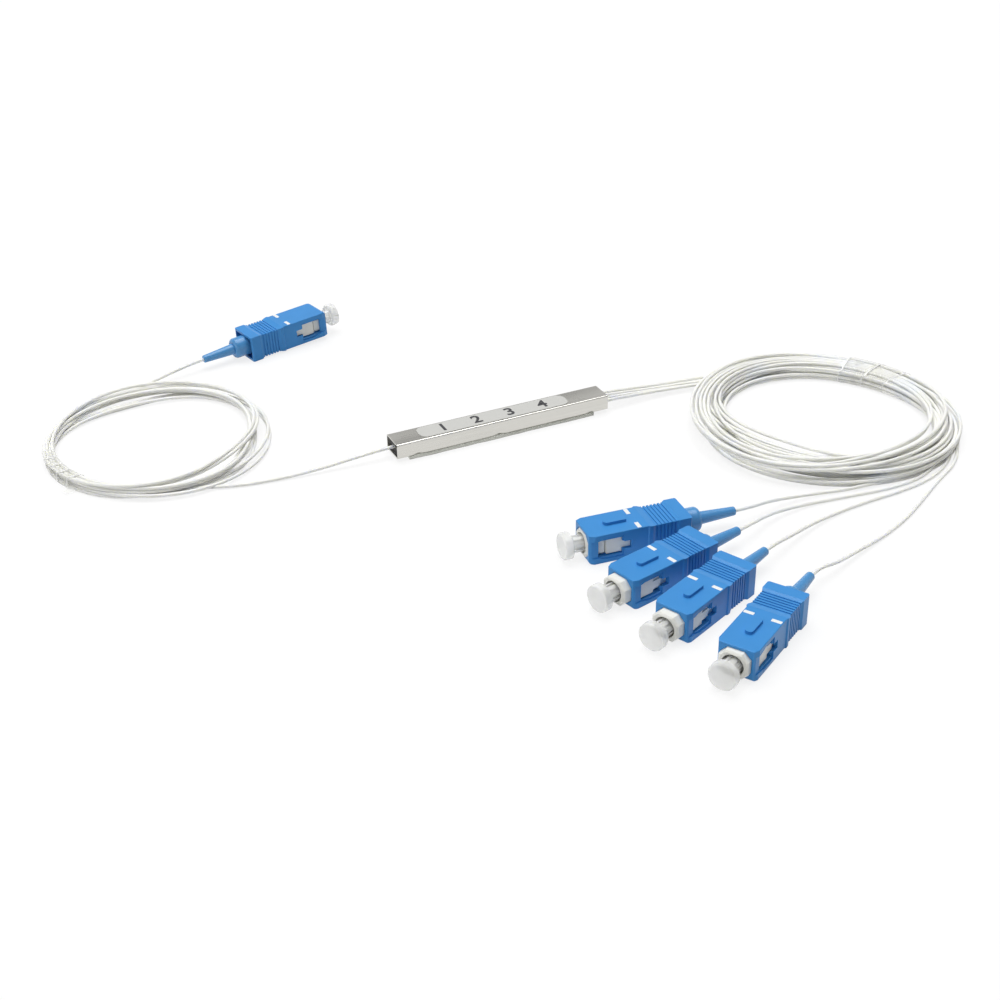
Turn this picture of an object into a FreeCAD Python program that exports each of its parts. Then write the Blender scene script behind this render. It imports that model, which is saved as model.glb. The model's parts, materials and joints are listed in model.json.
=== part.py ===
import FreeCAD, Part
import math
import os
import re

import Sketcher
from FreeCAD import Placement, Rotation, Vector

# Mini steel-tube fibre splitter: one input and four output pigtails that end in push-pull plugs.
#
# World frame: +X along the steel tube towards the outputs, +Z up, origin under the middle of the
# module on the surface that everything lies on.
# Plug axes: x = 0 at the plug frame's front face, +X towards the boot, +Z on the key side.
# Lengths are millimetres and angles are degrees.

SIZES = {
    # splitter module
    "tube_length": 60, "tube_width": 7, "tube_height": 4, "tube_wall": 0.3, "tube_corner": 0.4,
    "tape_length": 53, "tape_width": 7.8, "tape_thickness": 0.8, "tape_centre": -0.6,
    "label_length": 42, "label_width": 5.6, "label_thickness": 0.1, "label_corner": 2,
    "label_centre": -1.8,
    "potting_length": 5, "potting_recess": 0.7,
    "chip_length": 13, "chip_width": 2.6, "chip_height": 1.5, "block_length": 6,
    "fibre_diameter": 0.9, "fibre_clearance": 0.05, "fibre_entry": 3, "fibre_pitch": 1.5,
    "lead_stub": 2, "tail_stub": 3.6,
    "coated_diameter": 0.25, "coated_pitch": 0.3,
    # outer housing of a plug
    "housing_length": 25, "housing_width": 9, "housing_height": 7.4,
    "housing_wall": 0.6, "side_wall": 1.05, "slide_clearance": 0.1,
    "nose_length": 14.2, "nose_chamfer_length": 1.3, "nose_chamfer_width": 0.6,
    "nose_rounding": 1, "edge_rounding": 0.2,
    "grip_proud": 0.25, "grip_step": 0.3, "grip_shoulder": 0.8, "grip_slope": 0.7,
    "waist_inset": 0.1, "waist_drop": 0.25,
    "rib_pitch": 0.9, "rib_gap": 0.4, "rib_depth": 0.2, "rib_count": 6,
    "rear_wall": 0.6, "rear_depth": 2.6, "rear_chamfer": 0.3,
    "key_start": 5, "key_length": 5.3, "key_width": 1.8, "key_height": 0.7,
    "key_rounding": 0.8,
    "window_start": 2.2, "window_length": 5.9, "window_height": 4.2,
    "window_tail_length": 2.1, "window_tail_height": 2,
    "recess_depth": 0.35, "recess_height": 5.5, "recess_nose_height": 4.4, "recess_margin": 0.3,
    "recess_ramp": 2,
    # white frame inside the housing
    "frame_length": 19.8, "frame_chamfer": 1.5, "frame_front_chamfer": 0.35,
    "frame_bore": 4.9, "frame_bore_depth": 7, "seat_thickness": 0.6, "seat_bore": 3,
    "rear_bore": 4.6,
    "forward_offset": 0.2, "slide_travel": 2, "latch_gap": 0.1, "latch_height": 0.35,
    "latch_margin": 0.3, "latch_groove_width": 0.3, "latch_groove_depth": 0.4,
    # ferrule, spring and rear body
    "ferrule_diameter": 2.5, "ferrule_reach": 0.8, "ferrule_chamfer": 0.3,
    "flange_diameter": 4.2, "flange_thickness": 1.7, "flange_gap": 0.05, "flange_floor": 0.5,
    "flange_notch_width": 0.8, "flange_notch_depth": 0.4, "flange_notch_count": 4,
    "sleeve_diameter": 2.3, "sleeve_length": 4,
    "spring_length": 5, "spring_outer": 3.8, "spring_wire": 0.45, "spring_turns": 5,
    "spring_valley": 0.15,
    "press_clearance": 0.02, "sleeve_clearance": 0.15,
    "collar_clearance": 0.2, "stop_collar_thickness": 0.7,
    "barrel_diameter": 3.6, "barrel_length": 4.5,
    # boot
    "boot_collar_length": 8.5, "boot_shoulder": 1, "boot_shoulder_flat": 0.1,
    "boot_neck_diameter": 3.1, "boot_tip_diameter": 2.1, "boot_taper_length": 9.3,
    "boot_tip_rounding": 0.3,
    # dust cap
    "cap_head_diameter": 6.4, "cap_head_length": 2.2, "cap_head_rounding": 0.5,
    "cap_reach": 4.9, "cap_barrel_diameter": 4, "cap_insertion": 6, "cap_clearance": 0.1,
    "cap_blind_gap": 0.6, "flute_count": 8, "flute_width": 0.7, "flute_depth": 0.3,
    # where each plug lies: middle of the housing's front, heading of its axis, housing drawn back
    "input_x": -20.5, "input_y": 79.4, "input_heading": 191.4, "input_drawn": 0,
    "output_1_x": -9.7, "output_1_y": -63.1, "output_1_heading": -5.9, "output_1_drawn": 0,
    "output_2_x": -11.2, "output_2_y": -83.1, "output_2_heading": 13.2, "output_2_drawn": 1.8,
    "output_3_x": -8.3, "output_3_y": -99.2, "output_3_heading": 23.6, "output_3_drawn": 2,
    "output_4_x": -3.8, "output_4_y": -116.7, "output_4_heading": 31.1, "output_4_drawn": 1.2,
    # coils: outer and inner outline circles, height, and the film band round them
    "input_coil_x": -80.8, "input_coil_y": 34.6, "input_coil_radius": 29.8,
    "input_hole_x": -1.6, "input_hole_y": -0.5, "input_hole_radius": 23.6,
    "input_coil_height": 2.9, "input_wrap_start": 172, "input_wrap_angle": 37,
    "output_coil_x": 75.5, "output_coil_y": -35.1, "output_coil_radius": 34.8,
    "output_hole_x": 2.4, "output_hole_y": 1.6, "output_hole_radius": 23.8,
    "output_coil_height": 4.1, "output_wrap_start": 17, "output_wrap_angle": 36,
    "coil_rounding": 1, "film_thickness": 0.12,
}

PORTS = ["input", "output_1", "output_2", "output_3", "output_4"]

# Free stretches of the pigtails. Each list goes on from the module or from the plug's boot.
INPUT_LEAD = [(-40, 0.2, 2.1), (-49, 0.6, 1.1), (-59, 1.2, 0.6), (-70, 2.7, 0.55), (-80, 6.4, 0.9)]
OUTPUT_LEADS = [
    [(41.5, 1.9, 2.1), (51.5, 1.0, 1.7), (61.5, -0.6, 1.9), (71, -2.6, 2.2)],
    [(41, 0.6, 1.9), (50.5, 0.1, 1.4), (60.5, -1.5, 1.3), (70, -3.6, 1.3)],
    [(40.5, -0.6, 1.9), (49.5, -0.9, 1.3), (59.5, -2.6, 1.1), (69, -4.8, 1.2)],
    [(41, -1.9, 2.1), (50, -2.0, 1.6), (59, -3.6, 1.7), (68, -6.0, 2.0)],
]
TAILS = {
    "input": [(-69.3, 69.3, 1.9), (-77.5, 66.3, 1.2), (-86, 62.6, 1.3)],
    "output_1": [(38.6, -65.3, 2.5), (45, -64.6, 1.4), (52.5, -64.9, 0.7), (60.5, -66.7, 0.6),
                 (68.5, -67.8, 1)],
    "output_2": [(34.3, -70.4, 2.3), (41.5, -68.5, 1.3), (50, -68.2, 0.6), (60, -69.5, 0.5),
                 (70.5, -71, 0.5), (80.5, -70.3, 0.6), (88.5, -66, 1)],
    "output_3": [(34.5, -80.5, 2.4), (42.3, -77.1, 1.4), (51, -74.6, 0.6), (61, -73.4, 0.5),
                 (72, -73.2, 0.5), (82.5, -71.5, 0.5), (91.5, -66.7, 0.6), (97.5, -60.5, 1)],
    "output_4": [(37, -94.4, 2.3), (45.5, -91, 1.2), (55, -87.9, 0.5), (64.5, -84, 0.5),
                 (73.5, -78.8, 0.5), (82.5, -73.2, 0.5), (92.5, -68.1, 0.6), (99.5, -60, 1)],
}
ARC_SHARE = 0.45  # of the shorter run beside a corner that its arc takes up
VOLUME_ERROR = 0.02  # share by which a swept solid may differ from its section times its length

doc = FreeCAD.newDocument("fibre_splitter")
sheet = doc.addObject("Spreadsheet::Sheet", "Size")


def fill_sheet():
    """Write every driving size into the sheet, with its name as the cell's alias."""
    for row, (name, number) in enumerate(SIZES.items(), start=1):
        sheet.set(f"A{row}", name)
        sheet.set(f"B{row}", str(number))
        sheet.setAlias(f"B{row}", name)
    doc.recompute()


def bound(formula):
    """Return a formula over size names as an expression over the sheet's cells."""
    return re.sub(r"[a-z][a-z_0-9]*", lambda word: "Size." + word.group()
                  if word.group() in SIZES else word.group(), str(formula))


def size(formula):
    """Return the present value of a formula over size names."""
    return float(sheet.evalExpression(bound(formula)))


# ---------------------------------------------------------------- sketches and features


def new_body(label):
    """Return an empty body."""
    body = doc.addObject("PartDesign::Body", label)
    body.Label = label
    return body


def origin_plane(body, role):
    """Return one of the body's own origin planes."""
    return next(item for item in body.Origin.OriginFeatures if item.Role == role)


def sketch_on(body, name, role, offset="0"):
    """Return a sketch on an origin plane, moved along the plane's normal."""
    sketch = body.newObject("Sketcher::SketchObject", name)
    sketch.AttachmentSupport = [(origin_plane(body, role), "")]
    sketch.MapMode = "FlatFace"
    sketch.setExpression("AttachmentOffset.Base.z", bound(offset))
    return sketch


def pin_point(sketch, item, position, x, y):
    """Tie one point of a sketch to two formulas."""
    for kind, formula in (("DistanceX", x), ("DistanceY", y)):
        index = sketch.addConstraint(
            Sketcher.Constraint(kind, -1, 1, item, position, size(formula)))
        sketch.setExpression(f"Constraints[{index}]", bound(formula))


def polygon(sketch, points):
    """Draw a closed outline through points given as pairs of formulas."""
    first = sketch.GeometryCount
    corners = [Vector(size(x), size(y), 0) for x, y in points]
    count = len(corners)
    for index in range(count):
        sketch.addGeometry(Part.LineSegment(corners[index], corners[(index + 1) % count]))
    for index, (x, y) in enumerate(points):
        following = first + (index + 1) % count
        sketch.addConstraint(Sketcher.Constraint("Coincident", first + index, 2, following, 1))
        pin_point(sketch, first + index, 1, x, y)


def rectangle(sketch, left, right, low, high):
    """Draw a rectangle between four formulas."""
    polygon(sketch, [(left, low), (right, low), (right, high), (left, high)])


def circle(sketch, x, y, radius):
    """Draw a circle from three formulas."""
    centre = Vector(size(x), size(y), 0)
    item = sketch.addGeometry(Part.Circle(centre, Vector(0, 0, 1), size(radius)))
    pin_point(sketch, item, 3, x, y)
    index = sketch.addConstraint(Sketcher.Constraint("Radius", item, size(radius)))
    sketch.setExpression(f"Constraints[{index}]", bound(radius))


def mirrored(points):
    """Close a half outline given above the sketch's horizontal axis with its mirror image."""
    return points + [(x, f"-({y})") for x, y in reversed(points)]


def octagon(sketch, width, height, corner):
    """Draw a rectangle with its corners cut off, about the sketch's origin."""
    polygon(sketch, mirrored([
        (f"-{width} / 2", f"{height} / 2 - {corner}"),
        (f"{corner} - {width} / 2", f"{height} / 2"),
        (f"{width} / 2 - {corner}", f"{height} / 2"),
        (f"{width} / 2", f"{height} / 2 - {corner}")]))


def pad(body, sketch, length, midplane=False):
    """Pad a sketch along its normal, or half of the length each way."""
    feature = body.newObject("PartDesign::Pad", "Pad")
    feature.Profile = sketch
    feature.SideType = "Symmetric" if midplane else "One side"
    feature.setExpression("Length", bound(length))
    return feature


def pocket(body, sketch, length, midplane=False, along_normal=False):
    """Pocket a sketch against its normal, along it, or half of the length each way."""
    doc.recompute()
    before = body.Shape.Volume
    feature = body.newObject("PartDesign::Pocket", "Pocket")
    feature.Profile = sketch
    feature.SideType = "Symmetric" if midplane else "One side"
    feature.Reversed = along_normal
    feature.setExpression("Length", bound(length))
    doc.recompute()
    if body.Shape.Volume >= before:
        raise RuntimeError(f"{body.Label}: {sketch.Name} cuts nothing")
    return feature


def turned(body, name, points, cut=False):
    """Turn a profile of (x, radius) formulas about the body's X axis."""
    sketch = sketch_on(body, name, "XY_Plane")
    polygon(sketch, points)
    feature = body.newObject("PartDesign::Groove" if cut else "PartDesign::Revolution", "Turned")
    feature.Profile = sketch
    feature.ReferenceAxis = (sketch, ["H_Axis"])
    feature.Angle = 360
    return feature


def polar_pattern(body, feature, count):
    """Repeat a feature round the body's X axis."""
    pattern = body.newObject("PartDesign::PolarPattern", "Pattern")
    pattern.Originals = [feature]
    axis = next(item for item in body.Origin.OriginFeatures if item.Role == "X_Axis")
    pattern.Axis = (axis, [""])
    pattern.Angle = 360
    pattern.setExpression("Occurrences", bound(count))
    body.Tip = pattern


def dress_edges(body, kind, measure, amount, wanted):
    """Fillet or chamfer the edges of the body's last feature that a test picks."""
    doc.recompute()
    base = body.Tip
    names = [f"Edge{index}" for index, edge in enumerate(base.Shape.Edges, start=1)
             if wanted(edge)]
    feature = body.newObject(f"PartDesign::{kind}", kind)
    feature.Base = (base, names)
    feature.setExpression(measure, bound(amount))


def round_edges(body, radius, wanted):
    """Fillet the edges that a test picks."""
    dress_edges(body, "Fillet", "Radius", radius, wanted)


def bevel_edges(body, amount, wanted):
    """Chamfer the edges that a test picks."""
    dress_edges(body, "Chamfer", "Size", amount, wanted)


def near(first, second):
    """Say whether two lengths are equal."""
    return abs(first - second) < 1e-4


def circle_at(x, radius=None):
    """Return a test for round edges about the X axis at one place."""
    def wanted(edge):
        if not isinstance(edge.Curve, Part.Circle) or not near(edge.Curve.Center.x, size(x)):
            return False
        return radius is None or near(edge.Curve.Radius, size(radius))
    return wanted


def move(item, placement):
    """Give a finished sub-part its place."""
    item.Placement = placement
    return item


# ---------------------------------------------------------------- splitter module

TUBE_MIDDLE = "tape_thickness + tube_height / 2"
TUBE_FLOOR = "tape_thickness + tube_wall"


def steel_tube():
    """Drawn rectangular tube, open at both ends."""
    body = new_body("steel_tube")
    outline = sketch_on(body, "Outline", "YZ_Plane")
    rectangle(outline, "-tube_width / 2", "tube_width / 2", "-tube_height / 2", "tube_height / 2")
    pad(body, outline, "tube_length", midplane=True)
    round_edges(body, "tube_corner", lambda edge: near(edge.Length, size("tube_length")))
    inside = sketch_on(body, "Inside", "YZ_Plane")
    rectangle(inside, "tube_wall - tube_width / 2", "tube_width / 2 - tube_wall",
              "tube_wall - tube_height / 2", "tube_height / 2 - tube_wall")
    pocket(body, inside, "tube_length", midplane=True)
    return move(body, Placement(Vector(0, 0, size(TUBE_MIDDLE)), Rotation()))


def plate(label, length, width, thickness, corner):
    """Flat piece with rounded corners, its underside on its own XY plane."""
    body = new_body(label)
    outline = sketch_on(body, "Outline", "XY_Plane")
    rectangle(outline, f"-{length} / 2", f"{length} / 2", f"-{width} / 2", f"{width} / 2")
    pad(body, outline, thickness)
    round_edges(body, corner, lambda edge: near(abs(edge.tangentAt(edge.FirstParameter).z), 1))
    return body


def mounting_tape():
    """Clear double-sided tape under the tube."""
    body = plate("mounting_tape", "tape_length", "tape_width", "tape_thickness",
                 "tape_thickness")
    return move(body, Placement(Vector(size("tape_centre"), 0, 0), Rotation()))


def label_plate():
    """White label on top of the tube."""
    body = plate("label", "label_length", "label_width", "label_thickness", "label_corner")
    top = size("tape_thickness + tube_height")
    return move(body, Placement(Vector(size("label_centre"), 0, top), Rotation()))


def lead_offsets(port):
    """Formulas for where a port's fibres leave the tube, across it."""
    if port == "input":
        return ["0"]
    return [f"fibre_pitch * ({step})" for step in (1.5, 0.5, -0.5, -1.5)]


def end_plug(port, side):
    """Potting in one end of the tube, with a hole for each fibre."""
    body = new_body(f"{port}_end_plug")
    outline = sketch_on(body, "Outline", "YZ_Plane")
    rectangle(outline, "tube_wall - tube_width / 2", "tube_width / 2 - tube_wall",
              "tube_wall - tube_height / 2", "tube_height / 2 - tube_wall")
    pad(body, outline, "potting_length", midplane=True)
    holes = sketch_on(body, "Holes", "YZ_Plane")
    for offset in lead_offsets(port):
        circle(holes, offset, "0", "fibre_diameter / 2 + fibre_clearance")
    pocket(body, holes, "potting_length", midplane=True)
    middle = side * size("tube_length / 2 - potting_recess - potting_length / 2")
    return move(body, Placement(Vector(middle, 0, size(TUBE_MIDDLE)), Rotation()))


def glass_block(label, length, middle):
    """Glass piece on the tube's floor, centred on a place along the tube."""
    body = new_body(label)
    outline = sketch_on(body, "Outline", "XY_Plane")
    rectangle(outline, f"-{length} / 2", f"{length} / 2", "-chip_width / 2", "chip_width / 2")
    pad(body, outline, "chip_height")
    return move(body, Placement(Vector(size(middle), 0, size(TUBE_FLOOR)), Rotation()))


def bare_fibres():
    """Coated fibres from the pigtails' ends to the glass blocks."""
    rods = []
    for port, side in (("input", -1), ("output", 1)):
        offsets = lead_offsets(port)
        for index, offset in enumerate(offsets):
            outer = Vector(side * size("tube_length / 2 - potting_recess - fibre_entry"),
                           size(offset), size(TUBE_MIDDLE))
            across = ((len(offsets) - 1) / 2 - index) * size("coated_pitch")
            inner = Vector(side * size("chip_length / 2 + block_length"), across,
                           size(TUBE_FLOOR + " + chip_height / 2"))
            run = inner - outer
            rod = doc.addObject("Part::Cylinder", f"coated_fibre_{port}_{index + 1}")
            rod.setExpression("Radius", bound("coated_diameter / 2"))
            rod.Height = run.Length
            rod.Placement = Placement(outer, Rotation(Vector(0, 0, 1), run))
            rods.append(rod)
    group = doc.addObject("Part::Compound", "bare_fibres")
    group.Links = rods
    return group


def module():
    """Everything in and on the steel tube."""
    far = "(chip_length + block_length) / 2"
    return [steel_tube(), mounting_tape(), label_plate(),
            end_plug("input", -1), end_plug("output", 1),
            glass_block("splitter_chip", "chip_length", "0"),
            glass_block("input_fibre_block", "block_length", f"-{far}"),
            glass_block("output_fibre_block", "block_length", far),
            bare_fibres()]


# ---------------------------------------------------------------- pieces of one plug

GRIP_WIDTH = "(housing_width + 2 * grip_proud)"
WAIST_WIDTH = "(housing_width - 2 * waist_inset)"
WAIST_HEIGHT = "(housing_height - 2 * waist_drop)"
CAVITY_WIDTH = "(housing_width - 2 * side_wall)"
CAVITY_HEIGHT = "(housing_height - 2 * housing_wall)"
FRAME_WIDTH = f"({CAVITY_WIDTH} - 2 * slide_clearance)"
FRAME_HEIGHT = f"({CAVITY_HEIGHT} - 2 * slide_clearance)"
COLLAR_RADIUS = f"({CAVITY_HEIGHT} / 2 - collar_clearance)"
FLANGE_START = "frame_bore_depth + seat_thickness + flange_gap"
FLANGE_END = f"{FLANGE_START} + flange_thickness"
FERRULE_END = f"{FLANGE_END} - flange_floor"
STOP_START = f"{FLANGE_END} + spring_length"
BOOT_START = "frame_length + stop_collar_thickness"
BOOT_TIP = f"{BOOT_START} + boot_collar_length + boot_taper_length"
GRIP_START = "nose_length + grip_step + grip_shoulder + grip_slope"
RIB_END = f"{GRIP_START} + rib_count * rib_pitch"


def housing(label):
    """Sliding outer housing. Its own x = 0 is its front face."""
    body = new_body(label)
    plan = sketch_on(body, "Plan", "XY_Plane")
    flare = f"{RIB_END} + grip_slope"
    polygon(plan, mirrored([
        ("0", "housing_width / 2 - nose_chamfer_width"),
        ("nose_chamfer_length", "housing_width / 2"),
        ("nose_length", "housing_width / 2"),
        ("nose_length + grip_step", f"{GRIP_WIDTH} / 2"),
        ("nose_length + grip_step + grip_shoulder", f"{GRIP_WIDTH} / 2"),
        (GRIP_START, f"{WAIST_WIDTH} / 2"),
        (RIB_END, f"{WAIST_WIDTH} / 2"),
        (flare, f"{GRIP_WIDTH} / 2"),
        ("housing_length - rear_chamfer", f"{GRIP_WIDTH} / 2"),
        ("housing_length", f"{GRIP_WIDTH} / 2 - rear_chamfer")]))
    pad(body, plan, "housing_height", midplane=True)

    waist = sketch_on(body, "Waist", "XZ_Plane")
    for sign in ("", "-"):
        polygon(waist, [
            ("nose_length + grip_step", f"{sign}housing_height / 2"),
            (GRIP_START, f"{sign}{WAIST_HEIGHT} / 2"),
            (RIB_END, f"{sign}{WAIST_HEIGHT} / 2"),
            (flare, f"{sign}housing_height / 2"),
            (flare, f"{sign}housing_height"),
            ("nose_length + grip_step", f"{sign}housing_height")])
    pocket(body, waist, f"2 * {GRIP_WIDTH}", midplane=True)

    rib = sketch_on(body, "RibGap", "YZ_Plane", f"{GRIP_START} + (rib_pitch - rib_gap) / 2")
    rectangle(rib, f"-{GRIP_WIDTH}", GRIP_WIDTH, f"-{GRIP_WIDTH}", GRIP_WIDTH)
    rectangle(rib, f"rib_depth - {WAIST_WIDTH} / 2", f"{WAIST_WIDTH} / 2 - rib_depth",
              f"rib_depth - {WAIST_HEIGHT} / 2", f"{WAIST_HEIGHT} / 2 - rib_depth")
    gap = pocket(body, rib, "rib_gap", along_normal=True)
    pattern = body.newObject("PartDesign::LinearPattern", "Ribs")
    pattern.Originals = [gap]
    axis = next(item for item in body.Origin.OriginFeatures if item.Role == "X_Axis")
    pattern.Direction = (axis, [""])
    pattern.Mode = "Spacing"
    pattern.setExpression("Offset", bound("rib_pitch"))
    pattern.setExpression("Occurrences", bound("rib_count"))
    body.Tip = pattern

    half = size("housing_height / 2")
    round_edges(body, "nose_rounding", lambda edge: near(edge.CenterOfMass.x, 0)
                and near(edge.CenterOfMass.z, -half))

    cavity = sketch_on(body, "Cavity", "YZ_Plane", "housing_length / 2")
    corner = "(frame_chamfer + (2 - sqrt(2)) * slide_clearance)"
    octagon(cavity, CAVITY_WIDTH, CAVITY_HEIGHT, corner)
    pocket(body, cavity, "2 * housing_length", midplane=True)
    rear = sketch_on(body, "Rear", "YZ_Plane", "housing_length - rear_depth")
    rectangle(rear, f"rear_wall - {GRIP_WIDTH} / 2", f"{GRIP_WIDTH} / 2 - rear_wall",
              f"-{CAVITY_HEIGHT} / 2", f"{CAVITY_HEIGHT} / 2")
    pocket(body, rear, "2 * rear_depth", along_normal=True)

    recess = sketch_on(body, "SideRecess", "XZ_Plane", "housing_width / 2 - recess_depth")
    recess_end = "window_start + window_length + recess_margin"
    polygon(recess, mirrored([
        ("-nose_chamfer_length", "recess_nose_height / 2"),
        ("window_start", "recess_nose_height / 2"),
        ("window_start + recess_ramp", "recess_height / 2"),
        (recess_end, "recess_height / 2")]))
    side = pocket(body, recess, "housing_width", along_normal=True)
    both = body.newObject("PartDesign::Mirrored", "SideRecesses")
    both.Originals = [side]
    both.MirrorPlane = (origin_plane(body, "XZ_Plane"), [""])
    body.Tip = both
    window = sketch_on(body, "Window", "XZ_Plane")
    window_end = "window_start + window_length"
    polygon(window, mirrored([
        ("window_start", "window_height / 2"),
        (window_end, "window_height / 2"),
        (window_end, "window_tail_height / 2"),
        (f"{window_end} + window_tail_length", "window_tail_height / 2")]))
    pocket(body, window, f"2 * {GRIP_WIDTH}", midplane=True)

    key = sketch_on(body, "Key", "XY_Plane", "housing_height / 2 - slide_clearance")
    rectangle(key, "key_start", "key_start + key_length", "-key_width / 2", "key_width / 2")
    pad(body, key, "key_height + slide_clearance")
    round_edges(body, "key_rounding", lambda edge: near(edge.CenterOfMass.x, size("key_start"))
                and near(abs(edge.tangentAt(edge.FirstParameter).z), 1))

    def nose_edge(edge):
        middle = edge.CenterOfMass
        flat = near(edge.BoundBox.ZLength, 0) and near(abs(middle.z), half)
        outer = abs(middle.y) > size("housing_width / 2 - nose_chamfer_width") or near(middle.x, 0)
        return flat and outer and middle.x < size("nose_length")

    round_edges(body, "edge_rounding", nose_edge)
    return body


def plug_frame(label):
    """White frame that the housing slides on, with a latch tab in each side window."""
    body = new_body(label)
    front = sketch_on(body, "Section", "YZ_Plane")
    octagon(front, FRAME_WIDTH, FRAME_HEIGHT, "frame_chamfer")
    pad(body, front, "frame_length")
    bevel_edges(body, "frame_front_chamfer", lambda edge: near(edge.BoundBox.XMax, 0))
    seat_end = "frame_bore_depth + seat_thickness"
    turned(body, "Bores", [
        ("0", "0"), ("0", "frame_bore / 2"), ("frame_bore_depth", "frame_bore / 2"),
        ("frame_bore_depth", "seat_bore / 2"), (seat_end, "seat_bore / 2"),
        (seat_end, "rear_bore / 2"), ("frame_length", "rear_bore / 2"),
        ("frame_length", "0")], cut=True)

    tab = sketch_on(body, "LatchTab", "XZ_Plane", f"{FRAME_WIDTH} / 2 - latch_height")
    tab_start = "window_start + forward_offset + slide_travel + latch_gap"
    step = "window_start + forward_offset + window_length - latch_gap"
    polygon(tab, mirrored([
        (tab_start, "window_height / 2 - latch_margin"),
        (step, "window_height / 2 - latch_margin"),
        (step, "window_tail_height / 2 - latch_gap"),
        (f"{step} + window_tail_length", "window_tail_height / 2 - latch_gap")]))
    side = pad(body, tab, "2 * latch_height")
    both = body.newObject("PartDesign::Mirrored", "LatchTabs")
    both.Originals = [side]
    both.MirrorPlane = (origin_plane(body, "XZ_Plane"), [""])
    body.Tip = both
    groove = sketch_on(body, "LatchGroove", "XY_Plane")
    for sign in ("", "-"):
        rectangle(groove, f"{tab_start} - latch_gap - latch_groove_width",
                  f"{tab_start} - latch_gap",
                  f"{sign}({FRAME_WIDTH} / 2 - latch_groove_depth)", f"{sign}{FRAME_WIDTH}")
    pocket(body, groove, f"2 * {FRAME_HEIGHT}", midplane=True)
    return body


def ferrule(label):
    """Ceramic ferrule with a chamfered tip."""
    body = new_body(label)
    turned(body, "Profile", [
        ("-ferrule_reach", "0"),
        ("-ferrule_reach", "ferrule_diameter / 2 - ferrule_chamfer"),
        ("ferrule_chamfer - ferrule_reach", "ferrule_diameter / 2"),
        (FERRULE_END, "ferrule_diameter / 2"),
        (FERRULE_END, "0")])
    return body


def ferrule_flange(label):
    """Notched metal flange round the ferrule's end, with a tail sleeve for the fibre."""
    body = new_body(label)
    sleeve_end = f"{FLANGE_END} + sleeve_length"
    fibre_radius = "fibre_diameter / 2 + fibre_clearance"
    turned(body, "Profile", [
        (FLANGE_START, "ferrule_diameter / 2"), (FLANGE_START, "flange_diameter / 2"),
        (FLANGE_END, "flange_diameter / 2"), (FLANGE_END, "sleeve_diameter / 2"),
        (sleeve_end, "sleeve_diameter / 2"), (sleeve_end, fibre_radius),
        (FERRULE_END, fibre_radius), (FERRULE_END, "ferrule_diameter / 2")])
    notch = sketch_on(body, "Notch", "YZ_Plane", FLANGE_START)
    rectangle(notch, "-flange_notch_width / 2", "flange_notch_width / 2",
              "flange_diameter / 2 - flange_notch_depth", "flange_diameter")
    cut = pocket(body, notch, "flange_thickness", along_normal=True)
    polar_pattern(body, cut, "flange_notch_count")
    return body


def spring(label):
    """Coil spring between the flange and the stop ring, as a sleeve with one ridge a turn."""
    body = new_body(label)
    inner = "spring_outer / 2 - spring_wire"
    profile = [(FLANGE_END, inner)]
    for turn in range(int(size("spring_turns"))):
        pitch = "spring_length / spring_turns"
        profile.append((f"{FLANGE_END} + {turn} * {pitch}", f"{inner} + spring_valley"))
        profile.append((f"{FLANGE_END} + ({turn} + 0.5) * {pitch}", "spring_outer / 2"))
    profile += [(STOP_START, f"{inner} + spring_valley"), (STOP_START, inner)]
    turned(body, "Profile", profile)
    return body


def stop_ring(label):
    """Rear body: pressed into the frame, with a barrel that the boot pushes on to."""
    body = new_body(label)
    barrel_end = f"{BOOT_START} + barrel_length"
    pressed = "rear_bore / 2 - press_clearance"
    hole = "sleeve_diameter / 2 + sleeve_clearance"
    turned(body, "Profile", [
        (STOP_START, hole), (STOP_START, pressed), ("frame_length", pressed),
        ("frame_length", COLLAR_RADIUS), (BOOT_START, COLLAR_RADIUS),
        (BOOT_START, "barrel_diameter / 2"), (barrel_end, "barrel_diameter / 2"),
        (barrel_end, hole)])
    return body


def boot(label):
    """Strain relief: a collar on the stop ring's barrel, a shoulder and a slim taper."""
    body = new_body(label)
    socket_end = f"{BOOT_START} + barrel_length + press_clearance"
    collar_end = f"{BOOT_START} + boot_collar_length"
    hole = "fibre_diameter / 2 + fibre_clearance"
    turned(body, "Profile", [
        (BOOT_START, "barrel_diameter / 2 + press_clearance"),
        (BOOT_START, COLLAR_RADIUS),
        (collar_end, COLLAR_RADIUS),
        (collar_end, "boot_neck_diameter / 2"),
        (BOOT_TIP, "boot_tip_diameter / 2"), (BOOT_TIP, hole),
        (socket_end, hole), (socket_end, "barrel_diameter / 2 + press_clearance")])
    shoulder_width = f"{COLLAR_RADIUS} - boot_neck_diameter / 2"
    round_edges(body, f"min(boot_shoulder; {shoulder_width} - boot_shoulder_flat)",
                circle_at(collar_end, COLLAR_RADIUS))
    round_edges(body, "boot_tip_rounding", circle_at(BOOT_TIP, "boot_tip_diameter / 2"))
    return body


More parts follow.
